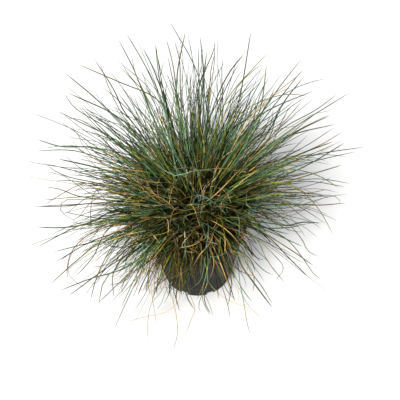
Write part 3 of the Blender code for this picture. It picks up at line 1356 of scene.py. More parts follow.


# A row is one blade, followed in the photograph from its tip to the crown: the letters of its
# colours at the foot and the tip, its width and how much nearer than the aim its tip hangs in
# millimetres, then (x, y) after (x, y) in pixels of the 400 by 400 photograph.
LONG_BLADES = (
    ("GT", 1.25, 6, 251, 29, 239, 100),
    ("GT", 1.3, 25, 246, 52, 231, 70, 215, 102.5),
    ("GO", 1, 20, 270, 51, 255, 66, 230, 95),
    ("TT", 1.25, 10, 216, 39, 214, 49, 201, 80),
    ("TT", 1.15, -8, 200, 34.4, 204, 77),
    ("TG", 1.35, 14, 207, 49, 204, 77),
    ("GS", 1.1, -5, 216, 51, 211, 71, 210, 85),
    ("GO", 1.1, 10, 267, 63, 261, 105),
    ("TT", 1.15, 0, 303, 57.5, 282, 83, 261, 113),
    ("TT", 1.15, -12, 303, 69, 276, 103),
    ("GT", 1.2, 14, 304, 77, 282.5, 105, 274, 122.5),
    ("GT", 1.2, 22, 315, 90, 260, 115),
    ("GO", 1, 30, 308, 96, 294, 94.4, 280, 95, 265, 100, 240, 114),
    ("TT", 1.15, -4, 338, 93, 315, 110.6, 290, 124),
    ("GT", 1.2, 8, 351, 92, 300, 123),
    ("GS", 0.9, -15, 331, 114, 297, 131),
    ("SS", 0.75, 18, 334, 110, 312, 115, 300, 121),
    ("TT", 0.95, 24, 262, 80, 238, 107),
    ("GT", 1.1, 18, 272, 86, 248, 117),
    ("GB", 0.95, 25, 303, 100, 285, 120),
    ("SS", 0.8, 25, 217, 63.7, 221, 88, 220, 100),
    ("GT", 1.1, 5, 365, 147, 313, 155),
    ("GT", 1.1, -8, 358, 151, 310, 162),
    ("TG", 1.1, 10, 345, 142, 315, 161),
    ("GS", 0.85, 4, 343, 131.5, 325, 143, 305, 152),
    ("TT", 1.05, 12, 336, 124, 290, 135),
    ("TT", 1.05, -12, 331, 115, 300, 130),
    ("GT", 1.5, 20, 333, 141.5, 297, 155),
    ("TB", 1.05, 10, 342, 165, 305, 176),
    ("TT", 0.9, 0, 351, 184, 320, 179),
    ("GG", 1.1, 14, 346, 187, 310, 181, 295, 181),
    ("GG", 1.1, 25, 340, 189, 317, 175, 303, 171),
    ("GB", 1, 20, 327, 189, 309, 193, 295, 193),
    ("YG", 1.1, 12, 332, 197, 285, 195),
    ("GS", 1, 8, 347, 203, 320, 205, 290, 204),
    ("GT", 0.9, 16, 338, 204, 341, 202, 339, 200, 300, 198),
    ("GB", 1, 15, 334, 236, 315, 204, 308, 196, 291, 185),
    ("GS", 0.8, 18, 327, 224, 297, 206, 285, 202),
    ("YS", 0.8, 26, 322, 225, 310, 220.5, 297, 212.8, 289, 206, 278, 200),
    ("GT", 1.2, 20, 319.4, 223, 303, 222, 287, 225, 275, 224, 262, 222),
    ("GG", 1.2, 25, 301, 226, 280, 228, 264, 228, 250, 224),
    ("GG", 0.95, 20, 320, 257, 308, 251, 303, 240, 292, 228, 274, 211.7),
    ("GG", 1, 25, 289, 234, 276, 231, 262, 226),
    ("GG", 1, 15, 323, 280.5, 314, 274, 306, 263, 285, 238, 274, 231),
    ("GG", 1.05, 20, 310, 278.9, 287, 256, 272, 241, 261, 232),
    ("OS", 0.95, 24, 315, 266, 287, 247, 258, 230),
    ("GG", 0.85, 28, 303, 247, 270, 232),
    ("GG", 1.1, 22, 285, 283, 267, 260, 256, 239, 247, 231.7),
    ("SS", 0.75, 26, 274, 280, 281, 274, 283.7, 269, 274, 255, 262, 243),
    ("GG", 0.95, 28, 272, 275, 266, 272, 259, 266, 247, 251, 241, 241.7),
    ("SB", 0.75, 30, 264, 260, 258, 258.3, 252, 252, 250, 244, 243, 237),
    ("GG", 1.2, 24, 273, 308.3, 252, 280, 241, 265, 236, 252),
    ("GS", 1, 28, 273, 306, 262, 287, 251, 271.7, 241, 252),
    ("TT", 1.35, 0, 167.5, 17, 200, 81, 203, 95),
    ("GT", 1.2, 14, 186, 29, 177, 75, 176, 90),
    ("TT", 1.2, 4, 165.6, 36, 172.5, 62, 178, 97),
    ("TG", 1.2, 12, 155, 44.4, 159, 80, 166, 110),
    ("TT", 1.1, -6, 142, 46, 150, 62.5, 165, 101),
    ("TT", 1.3, 2, 124, 30, 145, 66, 160, 100),
    ("TT", 1.2, 16, 117, 37, 133, 68.7, 149, 109),
    ("TT", 1.15, 24, 120.6, 62.5, 131, 77.5, 142.5, 90, 150, 108),
    ("TT", 1.2, 6, 93, 57, 115, 92.5, 123, 110, 133, 122),
    ("GO", 1.15, 24, 75, 63, 120, 82, 155, 98),
    ("TT", 1.4, 4, 64, 72, 92.5, 96, 120, 122),
    ("TT", 1.15, -8, 63, 92, 70, 102.5, 106, 127),
    ("TT", 1.2, 18, 67, 93, 120, 118),
    ("GT", 1.2, 8, 57, 111, 84, 124, 108, 135),
    ("GT", 0.95, -10, 58, 120, 95, 146),
    ("SS", 0.8, 20, 67, 119, 77, 119, 90, 125, 102, 133),
    ("GS", 0.9, 22, 131, 54, 135, 70, 148, 100),
    ("GO", 0.9, 24, 174, 38, 180, 62.5, 180, 80),
    ("SS", 0.8, 30, 167, 54, 176, 95),
    ("GT", 1, 18, 198, 43, 199, 85),
    ("GT", 1.25, 0, 35, 139, 60, 146, 90, 147),
    ("OG", 1.05, 12, 41, 149, 62, 146, 92, 148),
    ("GT", 1.2, -8, 35, 150.4, 77, 151, 95, 156),
    ("GB", 1, 20, 68, 143, 106, 166),
    ("GT", 1.3, 8, 57, 159, 95, 167),
    ("GT", 1.1, 4, 45, 163, 52, 169, 63, 175, 95, 182),
    ("SS", 0.8, 22, 62, 154, 84, 170, 96, 175),
    ("GT", 1, 0, 54, 181, 66, 180, 95, 184.4),
    ("GT", 1.2, 12, 44, 187, 56, 188, 78, 196, 93, 198),
    ("GS", 0.95, 2, 40, 200.4, 75, 197, 92, 197),
    ("SS", 1, 10, 35, 207, 62, 206, 97, 203),
    ("SS", 0.75, 25, 42, 207, 65, 192, 77, 186, 88, 183, 98, 184),
    ("GT", 1.3, 0, 34, 227, 60, 228, 95, 223),
    ("GT", 1.35, 14, 36, 248, 79, 226, 95, 220, 113, 211),
    ("GT", 1.3, 10, 52, 252, 78, 246, 120, 235),
    ("SS", 0.75, 24, 58, 262, 80, 247, 95, 240),
    ("SG", 1.15, 12, 49, 285, 79, 259, 112, 234),
    ("GT", 1.3, 22, 58, 291, 88, 280, 132, 264, 150, 248),
    ("GT", 1.3, 16, 67, 297, 112, 264, 131, 252),
    ("GS", 0.95, 28, 90, 303, 96, 279, 103, 262, 113, 246),
    ("OB", 0.85, 30, 72, 283.7, 67, 275, 67, 265, 71, 253, 79, 242, 92.5, 232, 106, 227),
    ("GB", 1, 30, 114, 299, 113, 273, 118, 262, 128, 250),
    ("TT", 1.15, 32, 120, 309.4, 138, 272, 152, 245),
    ("SB", 0.65, 34, 88, 291, 68, 271, 69, 262),
    ("SS", 0.75, 36, 106, 286, 125, 281, 133, 274, 140, 262),
    ("GT", 1.1, 24, 75, 277, 93, 257.5, 106, 231),
    ("GB", 0.9, 40, 91, 230, 91, 214, 99, 188, 106, 187, 116, 191),
    ("SS", 0.75, 34, 78, 219, 91, 202, 103, 196),
    ("SS", 0.65, 36, 80, 224, 60, 207, 62, 202, 75, 200),
)

# A row is one blade that crosses the crown or hangs over the rim, from its foot to its tip. Here
# the numbers in brackets, in place of the tip's nearness, are heights over the dome in millimetres.
NEAR_BLADES = (
    ("GT", 1.3, (12, 34, 48, 48, 46), 214, 184, 215, 175, 211, 171, 205, 170, 202, 170, 194, 171, 187,
     173, 182, 175, 175, 175.5, 169, 174, 163, 170, 160, 166, 154, 164, 149, 162),
    ("SS", 0.95, (14, 34, 44, 46), 236, 176, 231, 169, 222, 169, 215, 168.6, 207, 169, 199, 171),
    ("TT", 1, (6, 20, 26, 24), 190, 203, 186, 199, 180, 197, 175.5, 194, 171.8, 192.7, 169, 194, 168, 196,
     170, 200, 173, 203.6, 172, 207),
    ("TT", 1.15, (0, 14, 26), 211, 224, 212, 217, 212, 214, 212, 206, 211, 199.5, 211, 194, 212, 188),
    ("TT", 1.25, (2, 16, 18), 189, 206.4, 196, 213, 200, 220, 203, 228, 206, 237, 208, 243.6, 204, 250),
    ("TT", 1.25, (2, 18, 20), 199, 202.7, 204, 210, 207, 219, 208, 228, 207.3, 237, 206, 246, 204, 253.6),
    ("GT", 1.35, (2, 16, 14), 182, 211, 182, 217, 184, 227, 185, 237, 184.5, 244, 186, 254, 187, 262.7,
     187, 270, 189, 276),
    ("TT", 1.3, (2, 12, 12), 190, 238, 189, 241, 186, 248, 185, 257, 183.6, 268, 185, 277),
    ("TT", 1.6, (12, 20, 20), 156, 216, 152, 221, 146, 226, 140, 230, 134, 235, 130, 239, 125, 245),
    ("SS", 1.3, (8, 14, 8), 149, 224, 151, 230, 155.5, 238, 161, 244.5, 166.4, 252, 170, 261),
    ("GO", 1.5, (6, 12, 12), 156, 246, 153.6, 253.6, 151.8, 259, 150, 266.4, 148.6, 275, 149, 285.5, 150,
     295.5),
    ("OS", 1.4, (6, 14, 10), 212, 240, 208, 244.5, 201, 253, 195.5, 261, 192, 269, 189, 275),
    ("YO", 1.35, (6, 14, 14), 156, 236, 152, 243, 148, 250, 141.8, 257, 136, 264, 132, 269, 128, 275),
    ("GG", 1.1, (4, 14, 12), 219, 246, 217, 255.5, 212, 265, 202, 275, 196, 281, 189, 288),
    ("OO", 1, (4, 12, 10), 176, 258, 173, 270, 169, 276, 164, 281, 160, 285.5, 162, 291),
    ("SS", 0.7, (6, 12, 10), 150, 262, 150, 269, 153.6, 274.5, 159, 280),
    ("SS", 0.7, (8, 14, 16), 148, 275, 149, 281, 148, 286.4, 144.5, 289, 140, 289.5, 135.5, 286.4, 133.6,
     283),
    ("GS", 0.75, (10, 24, 44), 206, 268, 209, 283, 213.6, 289, 219, 294.5, 227, 299, 239, 305, 251, 309.4,
     262, 320.5),
    ("GG", 1.1, (4, 12, 12), 220, 233, 220, 241, 220, 248, 219, 257, 222, 265, 223.6, 271),
    ("OO", 1, (6, 14, 18), 220, 244, 222, 253, 224, 260, 226, 268, 230, 277, 232.7, 283.6, 230, 291, 227,
     298),
    ("GG", 1.15, (8, 22, 40), 234, 246, 236, 257, 238, 267, 239, 280.5, 243, 299.4, 246, 319.4, 250,
     334.4),
    ("GT", 1, (8, 18, 30), 226, 250, 228, 259, 230, 268, 233.6, 279, 237, 285.5, 242.8, 296, 251, 309.4),
    ("SS", 0.65, (8, 18, 22), 224, 262, 232, 282, 236, 288.3, 238.9, 296, 237, 303),
    ("TT", 1.2, (6, 16, 18), 178, 262, 173, 281, 166, 290, 163, 300, 157, 310),
    ("SO", 0.85, (14, 30, 44), 205, 202, 211, 199, 217, 193, 223, 187, 230, 180, 240, 169),
    ("OS", 1.15, (10, 30, 44), 190, 186.5, 179, 186, 175.5, 184.5, 169, 183, 164, 183, 151, 182, 144, 180,
     137, 179),
    ("YG", 1.3, (16, 36, 60), 182, 185, 172, 181, 163.6, 176, 156, 174, 146, 172, 134, 170, 118, 168, 100,
     167),
    ("SS", 1.1, (4, 16, 24), 188, 203, 186.4, 198, 184.5, 194.5, 180, 190, 172, 187),
    ("BS", 0.8, (4, 14, 14), 191, 203.5, 192, 196, 196, 191, 200, 189),
    ("YY", 1.15, (4, 14, 14), 184, 203, 182, 212, 182, 221, 182, 230),
    ("TT", 1.25, (6, 18, 24), 185, 218, 177, 219, 169, 222.7, 162, 224, 155, 225.5, 147, 228),
    ("OS", 1.15, (6, 20, 34), 184, 219, 177, 218, 170, 217, 156, 217.7, 148, 218, 140, 217),
    ("TT", 1.15, (8, 22, 36), 178, 210, 166, 208, 158, 207, 151, 207, 146, 208, 138, 211),
    ("TT", 1.1, (8, 22, 26), 229, 207, 236, 213, 239, 221, 239, 230, 239, 238),
    ("GO", 1.15, (8, 18, 20), 217, 206, 219, 214, 222, 222, 224, 233, 228, 243, 234, 254),
    ("OS", 1.1, (4, 12, 12), 170, 232, 165, 238, 160, 245, 156, 254, 153, 262),
    ("BS", 1, (3, 12, 10), 176, 222, 175.5, 232, 177, 242, 177.5, 252, 176, 264),
    ("OO", 0.95, (3, 10, 10), 199, 244, 198, 254, 197, 264, 194, 275, 196, 287),
    ("OB", 0.85, (3, 12, 14), 207, 254, 208, 264, 207, 276, 202, 288, 197, 300),
    ("YG", 0.95, (8, 22, 30), 168, 264, 166, 280, 161, 292, 152, 303, 147.5, 320, 148, 342),
    ("GB", 1, (8, 20, 26), 172, 262, 170, 290, 175, 310, 177.5, 332, 172.5, 352),
    ("SS", 0.75, (8, 20, 24), 186, 272, 190, 295, 195, 310, 190, 322, 186, 334),
    ("YO", 0.9, (8, 22, 34), 180, 278, 175, 305, 165, 312, 145, 317, 127, 322),
)


def set_values(mesh: bpy.types.Mesh, name: str, values: np.ndarray) -> None:
    """Store one number for each point of a mesh."""
    mesh.attributes.new(name, "FLOAT", "POINT").data.foreach_set("value", values.astype(np.float32))


def lay_strips(mesh: bpy.types.Mesh, count: int, steps: int) -> None:
    """Lay each blade out as one level strip of the bake's map, root at the left.

    Args:
        mesh: the blades' mesh, quads first and triangles after them.
        count: blades in the mesh.
        steps: pieces along each blade.
    """
    left = np.repeat(np.arange(steps - 1) / steps, 3)
    low = np.tile(np.arange(3) / 3.0, steps - 1)
    right = left + 1.0 / steps
    high = low + 1.0 / 3.0
    corners = ((left, low), (left, high), (right, high), (right, low))
    quads = np.stack([np.stack(corner, -1) for corner in corners], 1)
    near_tip = 1.0 - 1.0 / steps
    thirds = [((near_tip, k / 3.0), (near_tip, (k + 1) / 3.0), (1.0, (k + 0.5) / 3.0)) for k in range(3)]
    foot = [((0.0, 1.0), (0.0, 0.5), (0.005, 0.0))]
    lane = np.arange(count)[:, None, None]
    laid = []
    for pattern in (quads, np.array(thirds + foot)):
        spread = np.repeat(pattern[None], count, 0)
        spread[..., 1] = (lane + 0.1 + 0.8 * spread[..., 1]) / count
        laid.append(spread.reshape(-1, 2))
    flat = np.concatenate(laid).astype(np.float32).ravel()
    mesh.uv_layers.new(name="OFBake").data.foreach_set("uv", flat)


class BladeKind(Enum):
    """The kinds of blade in the clump, from fresh to dead."""

    GLAUCOUS = "glaucous"
    GREEN = "green"
    YOUNG = "young"
    YELLOWING = "yellowing"
    STRAW = "straw"


@dataclass(frozen=True)
class Habit:
    """How blades of one kind grow. Spans are (least, most), angles in radians."""

    fresh_share: float
    old_share: float
    age: tuple[float, float]
    bloom: tuple[float, float]
    reach: tuple[float, float]
    width: tuple[float, float]
    stray: float
    droop: float
    curl: float


HABITS = {
    BladeKind.GLAUCOUS: Habit(
        0.41, 0.22, (0.00, 0.16), (0.00, 0.70), (0.32, 1.00), (0.00053, 0.00082), 0.22, 0.14, 0.40
    ),
    BladeKind.GREEN: Habit(
        0.31, 0.15, (0.15, 0.33), (0.00, 0.20), (0.30, 0.98), (0.00051, 0.00080), 0.22, 0.14, 0.38
    ),
    BladeKind.YOUNG: Habit(
        0.13, 0.12, (0.34, 0.50), (0.00, 0.03), (0.24, 0.80), (0.00050, 0.00075), 0.22, 0.08, 0.24
    ),
    BladeKind.YELLOWING: Habit(
        0.08, 0.27, (0.52, 0.74), (0.00, 0.03), (0.28, 0.86), (0.00047, 0.00073), 0.26, 0.22, 0.45
    ),
    BladeKind.STRAW: Habit(
        0.08, 0.25, (0.74, 0.96), (0.00, 0.03), (0.24, 0.80), (0.00042, 0.00066), 0.36, 0.42, 0.85
    ),
}


@dataclass(frozen=True)
class RoundProfile:
    """How the clump changes round its axis: values at headings in degrees, joined by lines."""

    headings: tuple[float, ...]
    values: tuple[float, ...]

    def at(self, heading: np.ndarray | float) -> np.ndarray:
        """The value at a heading in radians."""
        return np.interp(np.degrees(heading), self.headings, self.values, period=360.0)


COMPASS = (0.0, 45.0, 90.0, 135.0, 180.0, 225.0, 250.0, 285.0, 310.0, 340.0)
FULLNESS = RoundProfile(COMPASS, (0.20, 0.90, 0.88, 0.98, 0.66, 0.76, 0.46, 0.36, 0.12, 0.10))
REACH = RoundProfile(COMPASS, (0.78, 1.05, 1.03, 1.03, 0.85, 0.99, 0.60, 0.56, 0.50, 0.52))
SCOUTS = RoundProfile(COMPASS, (1.16, 1.16, 1.14, 1.24, 1.04, 1.08, 1.00, 1.00, 1.10, 1.20))
HANGING = RoundProfile(COMPASS, (0.10, 0.00, 0.00, 0.00, 0.05, 0.15, 0.80, 0.90, 0.40, 0.20))
RIPENESS = RoundProfile(COMPASS, (0.65, 0.25, 0.05, 0.20, 0.55, 0.70, 0.85, 0.80, 0.80, 0.75))
YOUTH = RoundProfile(COMPASS, (3.6, 2.6, 1.0, 1.0, 1.1, 1.3, 1.2, 1.0, 2.0, 3.2))


@dataclass
class Tuft:
    """One tuft of the clump: it stands, leans and reaches as the frame's tuft does."""

    index: int
    layout: FrameLayout
    seed: int = 900
    blades: int = 84
    tillers: int = 8
    root_spread: float = 0.0072
    root_depth: float = 0.0025
    root_length: float = 0.013
    shoot_share: float = 0.55
    own_share: float = 0.25
    shoot_lean: float = 0.17
    splay: float = 0.34
    early_lean: float = 0.12
    arch: float = 0.45
    wanderers: float = 0.30
    wander_gain: float = 2.2
    wander_length: float = 0.70
    scouts: float = 0.06
    longest: float = 0.188
    usual_fullness: float = 0.85
    usual_ripeness: float = 0.15
    parted_thinning: float = 0.72
    parted_shortening: float = 0.38
    parting: tuple[float, float, float] = (math.radians(58.0), math.radians(-62.0), math.radians(44.0))

    def __post_init__(self) -> None:
        """Work out the tuft's stand, heading, lean and length by the frame's own draws."""
        chance = random.Random(self.layout.seed * 1000 + self.index)
        self.stand = self.layout.stand(self.index)
        self.heading = self.index * GOLDEN_ANGLE
        jitter = self.layout.lean_jitter
        self.lean = self.layout.lean(self.stand) + chance.uniform(-jitter, jitter)
        share = self.stand / self.layout.outer_stand
        longest, shortest = self.layout.inner_blade, self.layout.outer_blade
        self.length = longest + (shortest - longest) * share**2
        self.length *= chance.uniform(*self.layout.length_jitter)
        self.length *= self.layout.round_reach(self.heading, self.lean)
        self.lowness = self.layout.lowness(self.lean)
        parting = leaning(self.parting[0], self.parting[1])
        off = math.acos(min(1.0, float(leaning(self.lean, self.heading) @ parting)))
        self.parted = math.exp(-((off / self.parting[2]) ** 2))
        riper = RIPENESS.at(self.heading) - self.usual_ripeness
        self.ripeness = self.usual_ripeness + riper * (0.3 + 0.7 * self.lowness)

    def fullness(self) -> float:
        """The share of its blades that the tuft has, less where the clump parts or is thin."""
        share = self.usual_fullness + (FULLNESS.at(self.heading) - self.usual_fullness) * self.lowness
        return share * (1.0 - self.parted_thinning * self.parted)

    def lengths(self, reach: tuple[float, float], count: int, chance: np.random.Generator) -> np.ndarray:
        """Draw blade lengths, from the root in the crown.

        A length is the tuft's own times a share between the kind's least and most. Where the
        clump is short, most blades are short and a few still go the whole way or past it.

        Args:
            reach: the least and the most share.
            count: how many.
            chance: the tuft's random draws.

        Returns:
            Lengths in metres.
        """
        share = reach[0] + (reach[1] - reach[0]) * chance.random(count) ** 1.25
        region = 1.0 + (REACH.at(self.heading) - 1.0) * self.lowness
        region = region * (1.0 - self.parted_shortening * self.parted)
        scouts = reach[1] * SCOUTS.at(self.heading) * chance.uniform(0.80, 1.0, count)
        full = chance.random(count) < self.scouts
        length = (self.length + self.root_length) * np.where(full, scouts, share * region)
        return np.minimum(length, self.longest)

    def rows(self, kind: BladeKind, count: int, chance: np.random.Generator) -> BladeRows:
        """Draw the blades of one kind.

        Args:
            kind: the kind of blade.
            count: how many.
            chance: the tuft's own random draws.

        Returns:
            The blades.
        """
        habit = HABITS[kind]
        shoots = chance.normal(0.0, 1.0, (self.tillers, 3))
        shoot = shoots[chance.integers(0, self.tillers, count)]
        own = chance.normal(0.0, 1.0, (count, 3))
        out = leaning(self.stand, self.heading)
        spot = self.root_spread * (self.shoot_share * shoot + self.own_share * own)
        rooted = unit(out * self.layout.dome_radius + spot)
        wanders = chance.random(count) < self.wanderers
        stray = habit.stray * np.where(wanders, self.wander_gain, 1.0)[:, None]
        towards = unit(leaning(self.lean, self.heading) + self.shoot_lean * shoot + stray * own)
        rising = unit(rooted + self.splay * own + self.early_lean * (towards - rooted))
        astray = habit.stray * chance.normal(0.0, 0.8, (count, 3))
        ending = unit(towards + self.arch * (towards - rooted) + astray)
        length = self.lengths(habit.reach, count, chance) * np.where(wanders, self.wander_length, 1.0)
        hanging = HANGING.at(self.heading) * self.lowness * (length < 0.9 * self.length)
        sag = habit.droop * chance.random(count) * (length / 0.12)
        sag = sag + hanging * chance.uniform(0.3, 1.3, count)
        return BladeRows(
            roots=self.layout.on_dome(rooted, self.root_depth),
            rising=rising,
            ending=unit(ending - UP * sag[:, None]),
            length=length,
            width=chance.uniform(*habit.width, count) * (0.72 + 0.45 * length / 0.15),
            bend=chance.uniform(0.35, 1.1, count),
            curl=habit.curl * chance.random(count) ** 1.6 * 2.4,
            **drawn(chance, count, pace=(0.4, 1.4), twist=(-2.5, 2.5), age=habit.age),
            **drawn(chance, count, bloom=habit.bloom, tone=(0.0, 1.0)),
        )

    def mesh(self) -> bpy.types.Mesh:
        """Grow all the tuft's blades.

        Returns:
            One mesh of them all.
        """
        chance = np.random.default_rng(self.seed + self.index)
        wanted = self.blades * self.fullness()
        parts = []
        for kind, habit in HABITS.items():
            share = habit.fresh_share + (habit.old_share - habit.fresh_share) * self.ripeness
            if kind is BladeKind.YOUNG:
                share *= YOUTH.at(self.heading)
            count = int(wanted * share + chance.random())
            if count:
                parts.append(self.rows(kind, count, chance))
        return sweep_blades(f"blades_{self.index + 1:02d}", BladeRows.together(parts))


@dataclass
class Clump:
    """All the tufts, each in place of its node of the frame."""

    layout: FrameLayout
    finish: bpy.types.Material
    drying_from: int = 36

    def build(self) -> None:
        """Make a piece for each tuft."""
        for index in range(self.layout.tufts):
            mesh = Tuft(index, self.layout).mesh()
            add_piece(mesh, self.finish, f"tuft_{index + 1:02d}")


@dataclass
class HangingLeaves:
    """Dry and half dry blades that hang over the rim and hug the pot."""

    layout: FrameLayout
    finish: bpy.types.Material
    seed: int = 77
    count: int = 260
    length: tuple[float, float] = (0.022, 0.090)
    heading: float = math.radians(-112.0)
    fresh: float = 0.4

    def build(self) -> None:
        """Make the blades as one piece, thickest at the front."""
        chance = np.random.default_rng(self.seed)
        count = self.count
        heading = self.heading + chance.normal(0.0, 0.80, count)
        out = leaning(self.layout.outer_stand * chance.uniform(0.75, 1.05, count), heading)
        lean = np.radians(chance.uniform(75.0, 115.0, count))
        towards = leaning(lean, heading + chance.normal(0.0, 0.25, count))
        outwards = leaning(math.pi * 0.5, heading + chance.normal(0.0, 0.5, count))
        rows = BladeRows(
            roots=self.layout.on_dome(out),
            rising=unit(out + 0.6 * towards),
            ending=unit(outwards * 0.45 - UP),
            length=self.length[0] + (self.length[1] - self.length[0]) * chance.random(count) ** 2.6,
            **drawn(chance, count, width=(0.0006, 0.0012), bend=(0.6, 1.2), curl=(0.0, 0.7)),
            **drawn(chance, count, pace=(0.5, 1.6), twist=(-3.0, 3.0)),
            age=ages(chance, chance.random(count) < self.fresh, (0.0, 0.42), (0.58, 1.0)),
            bloom=np.zeros(count),
            tone=chance.random(count),
        )
        add_piece(sweep_blades("hanging_leaves", rows), self.finish)


@dataclass
class StrayBlades:
    """Fine blades, dry and fresh, that rise through the tufts and lie across them."""

    layout: FrameLayout
    finish: bpy.types.Material
    seed: int = 59
    count: int = 520
    fresh: float = 0.45
    in_front: float = 0.5
    front: float = math.radians(-80.0)

    def build(self) -> None:
        """Make the blades as one piece, rooted all over the crown and thickest in front."""
        chance = np.random.default_rng(self.seed)
        stand = self.layout.cap_stand(chance.random(self.count), 1.05)
        heading = chance.uniform(0.0, TAU, self.count)
        moved = chance.random(self.count) < self.in_front
        heading = np.where(moved, self.front + 0.8 * chance.normal(0.0, 1.0, self.count), heading)
        low = self.layout.lowness(LEAN_PER_STAND * stand)
        kept = chance.random(self.count) < 1.0 - (1.0 - FULLNESS.at(heading)) * low**2
        stand, heading, count = stand[kept], heading[kept], int(kept.sum())
        leant = stand * LEAN_PER_STAND
        lean = leaning(leant, heading)
        across = unit(np.cross(lean, chance.normal(0.0, 1.0, (count, 3))))
        fresh = chance.random(count) < self.fresh
        rows = BladeRows(
            roots=self.layout.on_dome(leaning(stand, heading)),
            rising=unit(lean + 0.25 * chance.normal(0.0, 1.0, (count, 3))),
            ending=unit(0.35 * lean + across - 0.15 * UP),
            length=chance.uniform(0.042, 0.092, count) * self.layout.round_reach(heading, leant),
            **drawn(chance, count, width=(0.00042, 0.00070), bend=(0.7, 1.6), curl=(0.0, 1.8)),
            **drawn(chance, count, pace=(0.4, 1.4), twist=(-4.0, 4.0)),
            age=ages(chance, fresh, (0.0, 0.35), (0.66, 0.95)),
            bloom=chance.uniform(0.0, 0.9, count) * fresh,
            tone=chance.uniform(0.34, 0.96, count),
        )
        mesh = sweep_blades("stray_blades", rows, steps=14, span=(0.06, 0.55))
        add_piece(mesh, self.finish)


@dataclass
class Crown:
    """The cushion of old sheaths: a rough dome and the stubs and litter that stand on it."""

    layout: FrameLayout
    earth: bpy.types.Material
    finish: bpy.types.Material
    rings: int = 40
    columns: int = 120
    roughness: float = 0.0011
    stubs: int = 900
    stub_seed: int = 41
    loose_threads: int = 760
    thread_seed: int = 43

    def dome(self) -> bpy.types.Mesh:
        """The dome: the frame's outline turned about the axis, roughened by waves.

        The outline is a flat foot, a short skirt and the cap of a sphere. Each point moves
        along its own direction from the dome's centre by a sum of sine waves.

        Returns:
            The mesh.
        """
        layout = self.layout
        foot = layout.mix_top + layout.touching_gap
        widest = math.asin(layout.crown_radius / layout.dome_radius)
        angles = np.linspace(widest, 0.0, self.rings)
        radius = np.concatenate(((0.0, layout.crown_radius - 0.001), layout.dome_radius * np.sin(angles)))
        height = np.concatenate(((foot, foot), layout.dome_centre[2] + layout.dome_radius * np.cos(angles)))
        points = turned(radius, height, self.columns)
        lumps = waves(points, 26, 900.0, 31)
        rise = self.roughness * lumps * smooth_step(foot + 0.001, foot + 0.005, points[..., 2])
        return weld(grid_mesh("thatch", points + unit(points - layout.dome_centre) * rise[..., None]))

    def litter(self) -> bpy.types.Mesh:
        """Stubs of old sheaths and scraps of dead leaf, short blades all over the dome.

        Returns:
            One mesh of them all.
        """
        chance = np.random.default_rng(self.stub_seed)
        count = self.stubs
        stand = self.layout.cap_stand((np.arange(count) + 0.5) / count, 1.06)
        out = leaning(stand, np.arange(count) * GOLDEN_ANGLE + chance.normal(0.0, 0.3, count))
        rows = BladeRows(
            roots=self.layout.on_dome(out),
            rising=unit(out + chance.normal(0.0, 0.22, (count, 3))),
            ending=unit(out + chance.normal(0.0, 0.75, (count, 3))),
            **drawn(chance, count, length=(0.007, 0.022), width=(0.0009, 0.0016), bend=(0.8, 1.6)),
            **drawn(chance, count, curl=(0.0, 0.5), pace=(0.4, 1.2), twist=(-3.0, 3.0), age=(0.80, 1.0)),
            bloom=np.zeros(count),
            tone=chance.random(count) * 0.45,
        )
        return sweep_blades("sheath_litter", rows, steps=5)

    def threads(self) -> bpy.types.Mesh:
        """Thin curled dead blades that lie across the crown in every direction.

        Returns:
            One mesh of them all.
        """
        chance = np.random.default_rng(self.thread_seed)
        count = self.loose_threads
        stand = self.layout.cap_stand(chance.random(count), 1.1)
        heading = chance.uniform(0.0, TAU, count)
        out = leaning(stand, heading)
        along = unit(np.cross(out, chance.normal(0.0, 1.0, (count, 3))))
        reach = self.layout.round_reach(heading, LEAN_PER_STAND * stand)
        rows = BladeRows(
            roots=self.layout.on_dome(out),
            rising=unit(0.9 * out + 0.6 * along),
            ending=unit(along + 0.45 * out + chance.normal(0.0, 0.50, (count, 3))),
            length=chance.uniform(0.024, 0.070, count) * reach,
            **drawn(chance, count, width=(0.00040, 0.00078), bend=(0.5, 1.2), curl=(0.3, 2.2)),
            **drawn(chance, count, pace=(0.5, 1.5), twist=(-4.0, 4.0)),
            age=ages(chance, chance.random(count) < 0.35, (0.0, 0.4), (0.75, 1.0)),
            bloom=chance.uniform(0.0, 0.6, count),
            tone=np.where(chance.random(count) < 0.40, 0.22, 0.96) * chance.random(count) ** 0.6,
        )
        return sweep_blades("crown_threads", rows, steps=14, span=(0.08, 0.50))

    def build(self) -> None:
        """Make the dome in place of the frame's crown, and the litter and threads on it."""
        add_piece(self.dome(), self.earth, "crown")
        add_piece(self.litter(), self.finish)
        add_piece(self.threads(), self.finish)


def waves(points: np.ndarray, count: int, pace: float, seed: int) -> np.ndarray:
    """A sum of sine waves in random directions, about -1 to 1.

    Args:
        points: where it is wanted, shape (..., 3).
        count: how many waves.
        pace: the middle of their angular pace, in radians a metre.
        seed: which draw of waves.

    Returns:
        One value for each point.
    """
    chance = np.random.default_rng(seed)
    ways = unit(chance.normal(0.0, 1.0, (count, 3))) * pace * chance.uniform(0.35, 1.6, (count, 1))
    phases = chance.uniform(0.0, TAU, count)
    return np.sin(points @ ways.T + phases).sum(-1) / math.sqrt(count)


def weld(mesh: bpy.types.Mesh, distance: float = 1e-6) -> bpy.types.Mesh:
    """Merge the points that share a place, as at a pole, and face the whole mesh outwards.

    Args:
        mesh: the mesh, which is changed.
        distance: how near two points are to share a place, in metres.

    Returns:
        The same mesh.
    """
    builder = bmesh.new()
    builder.from_mesh(mesh)
    bmesh.ops.remove_doubles(builder, verts=builder.verts, dist=distance)
    bmesh.ops.dissolve_degenerate(builder, edges=builder.edges, dist=distance)
    bmesh.ops.recalc_face_normals(builder, faces=builder.faces)
    builder.to_mesh(mesh)
    builder.free()
    return mesh


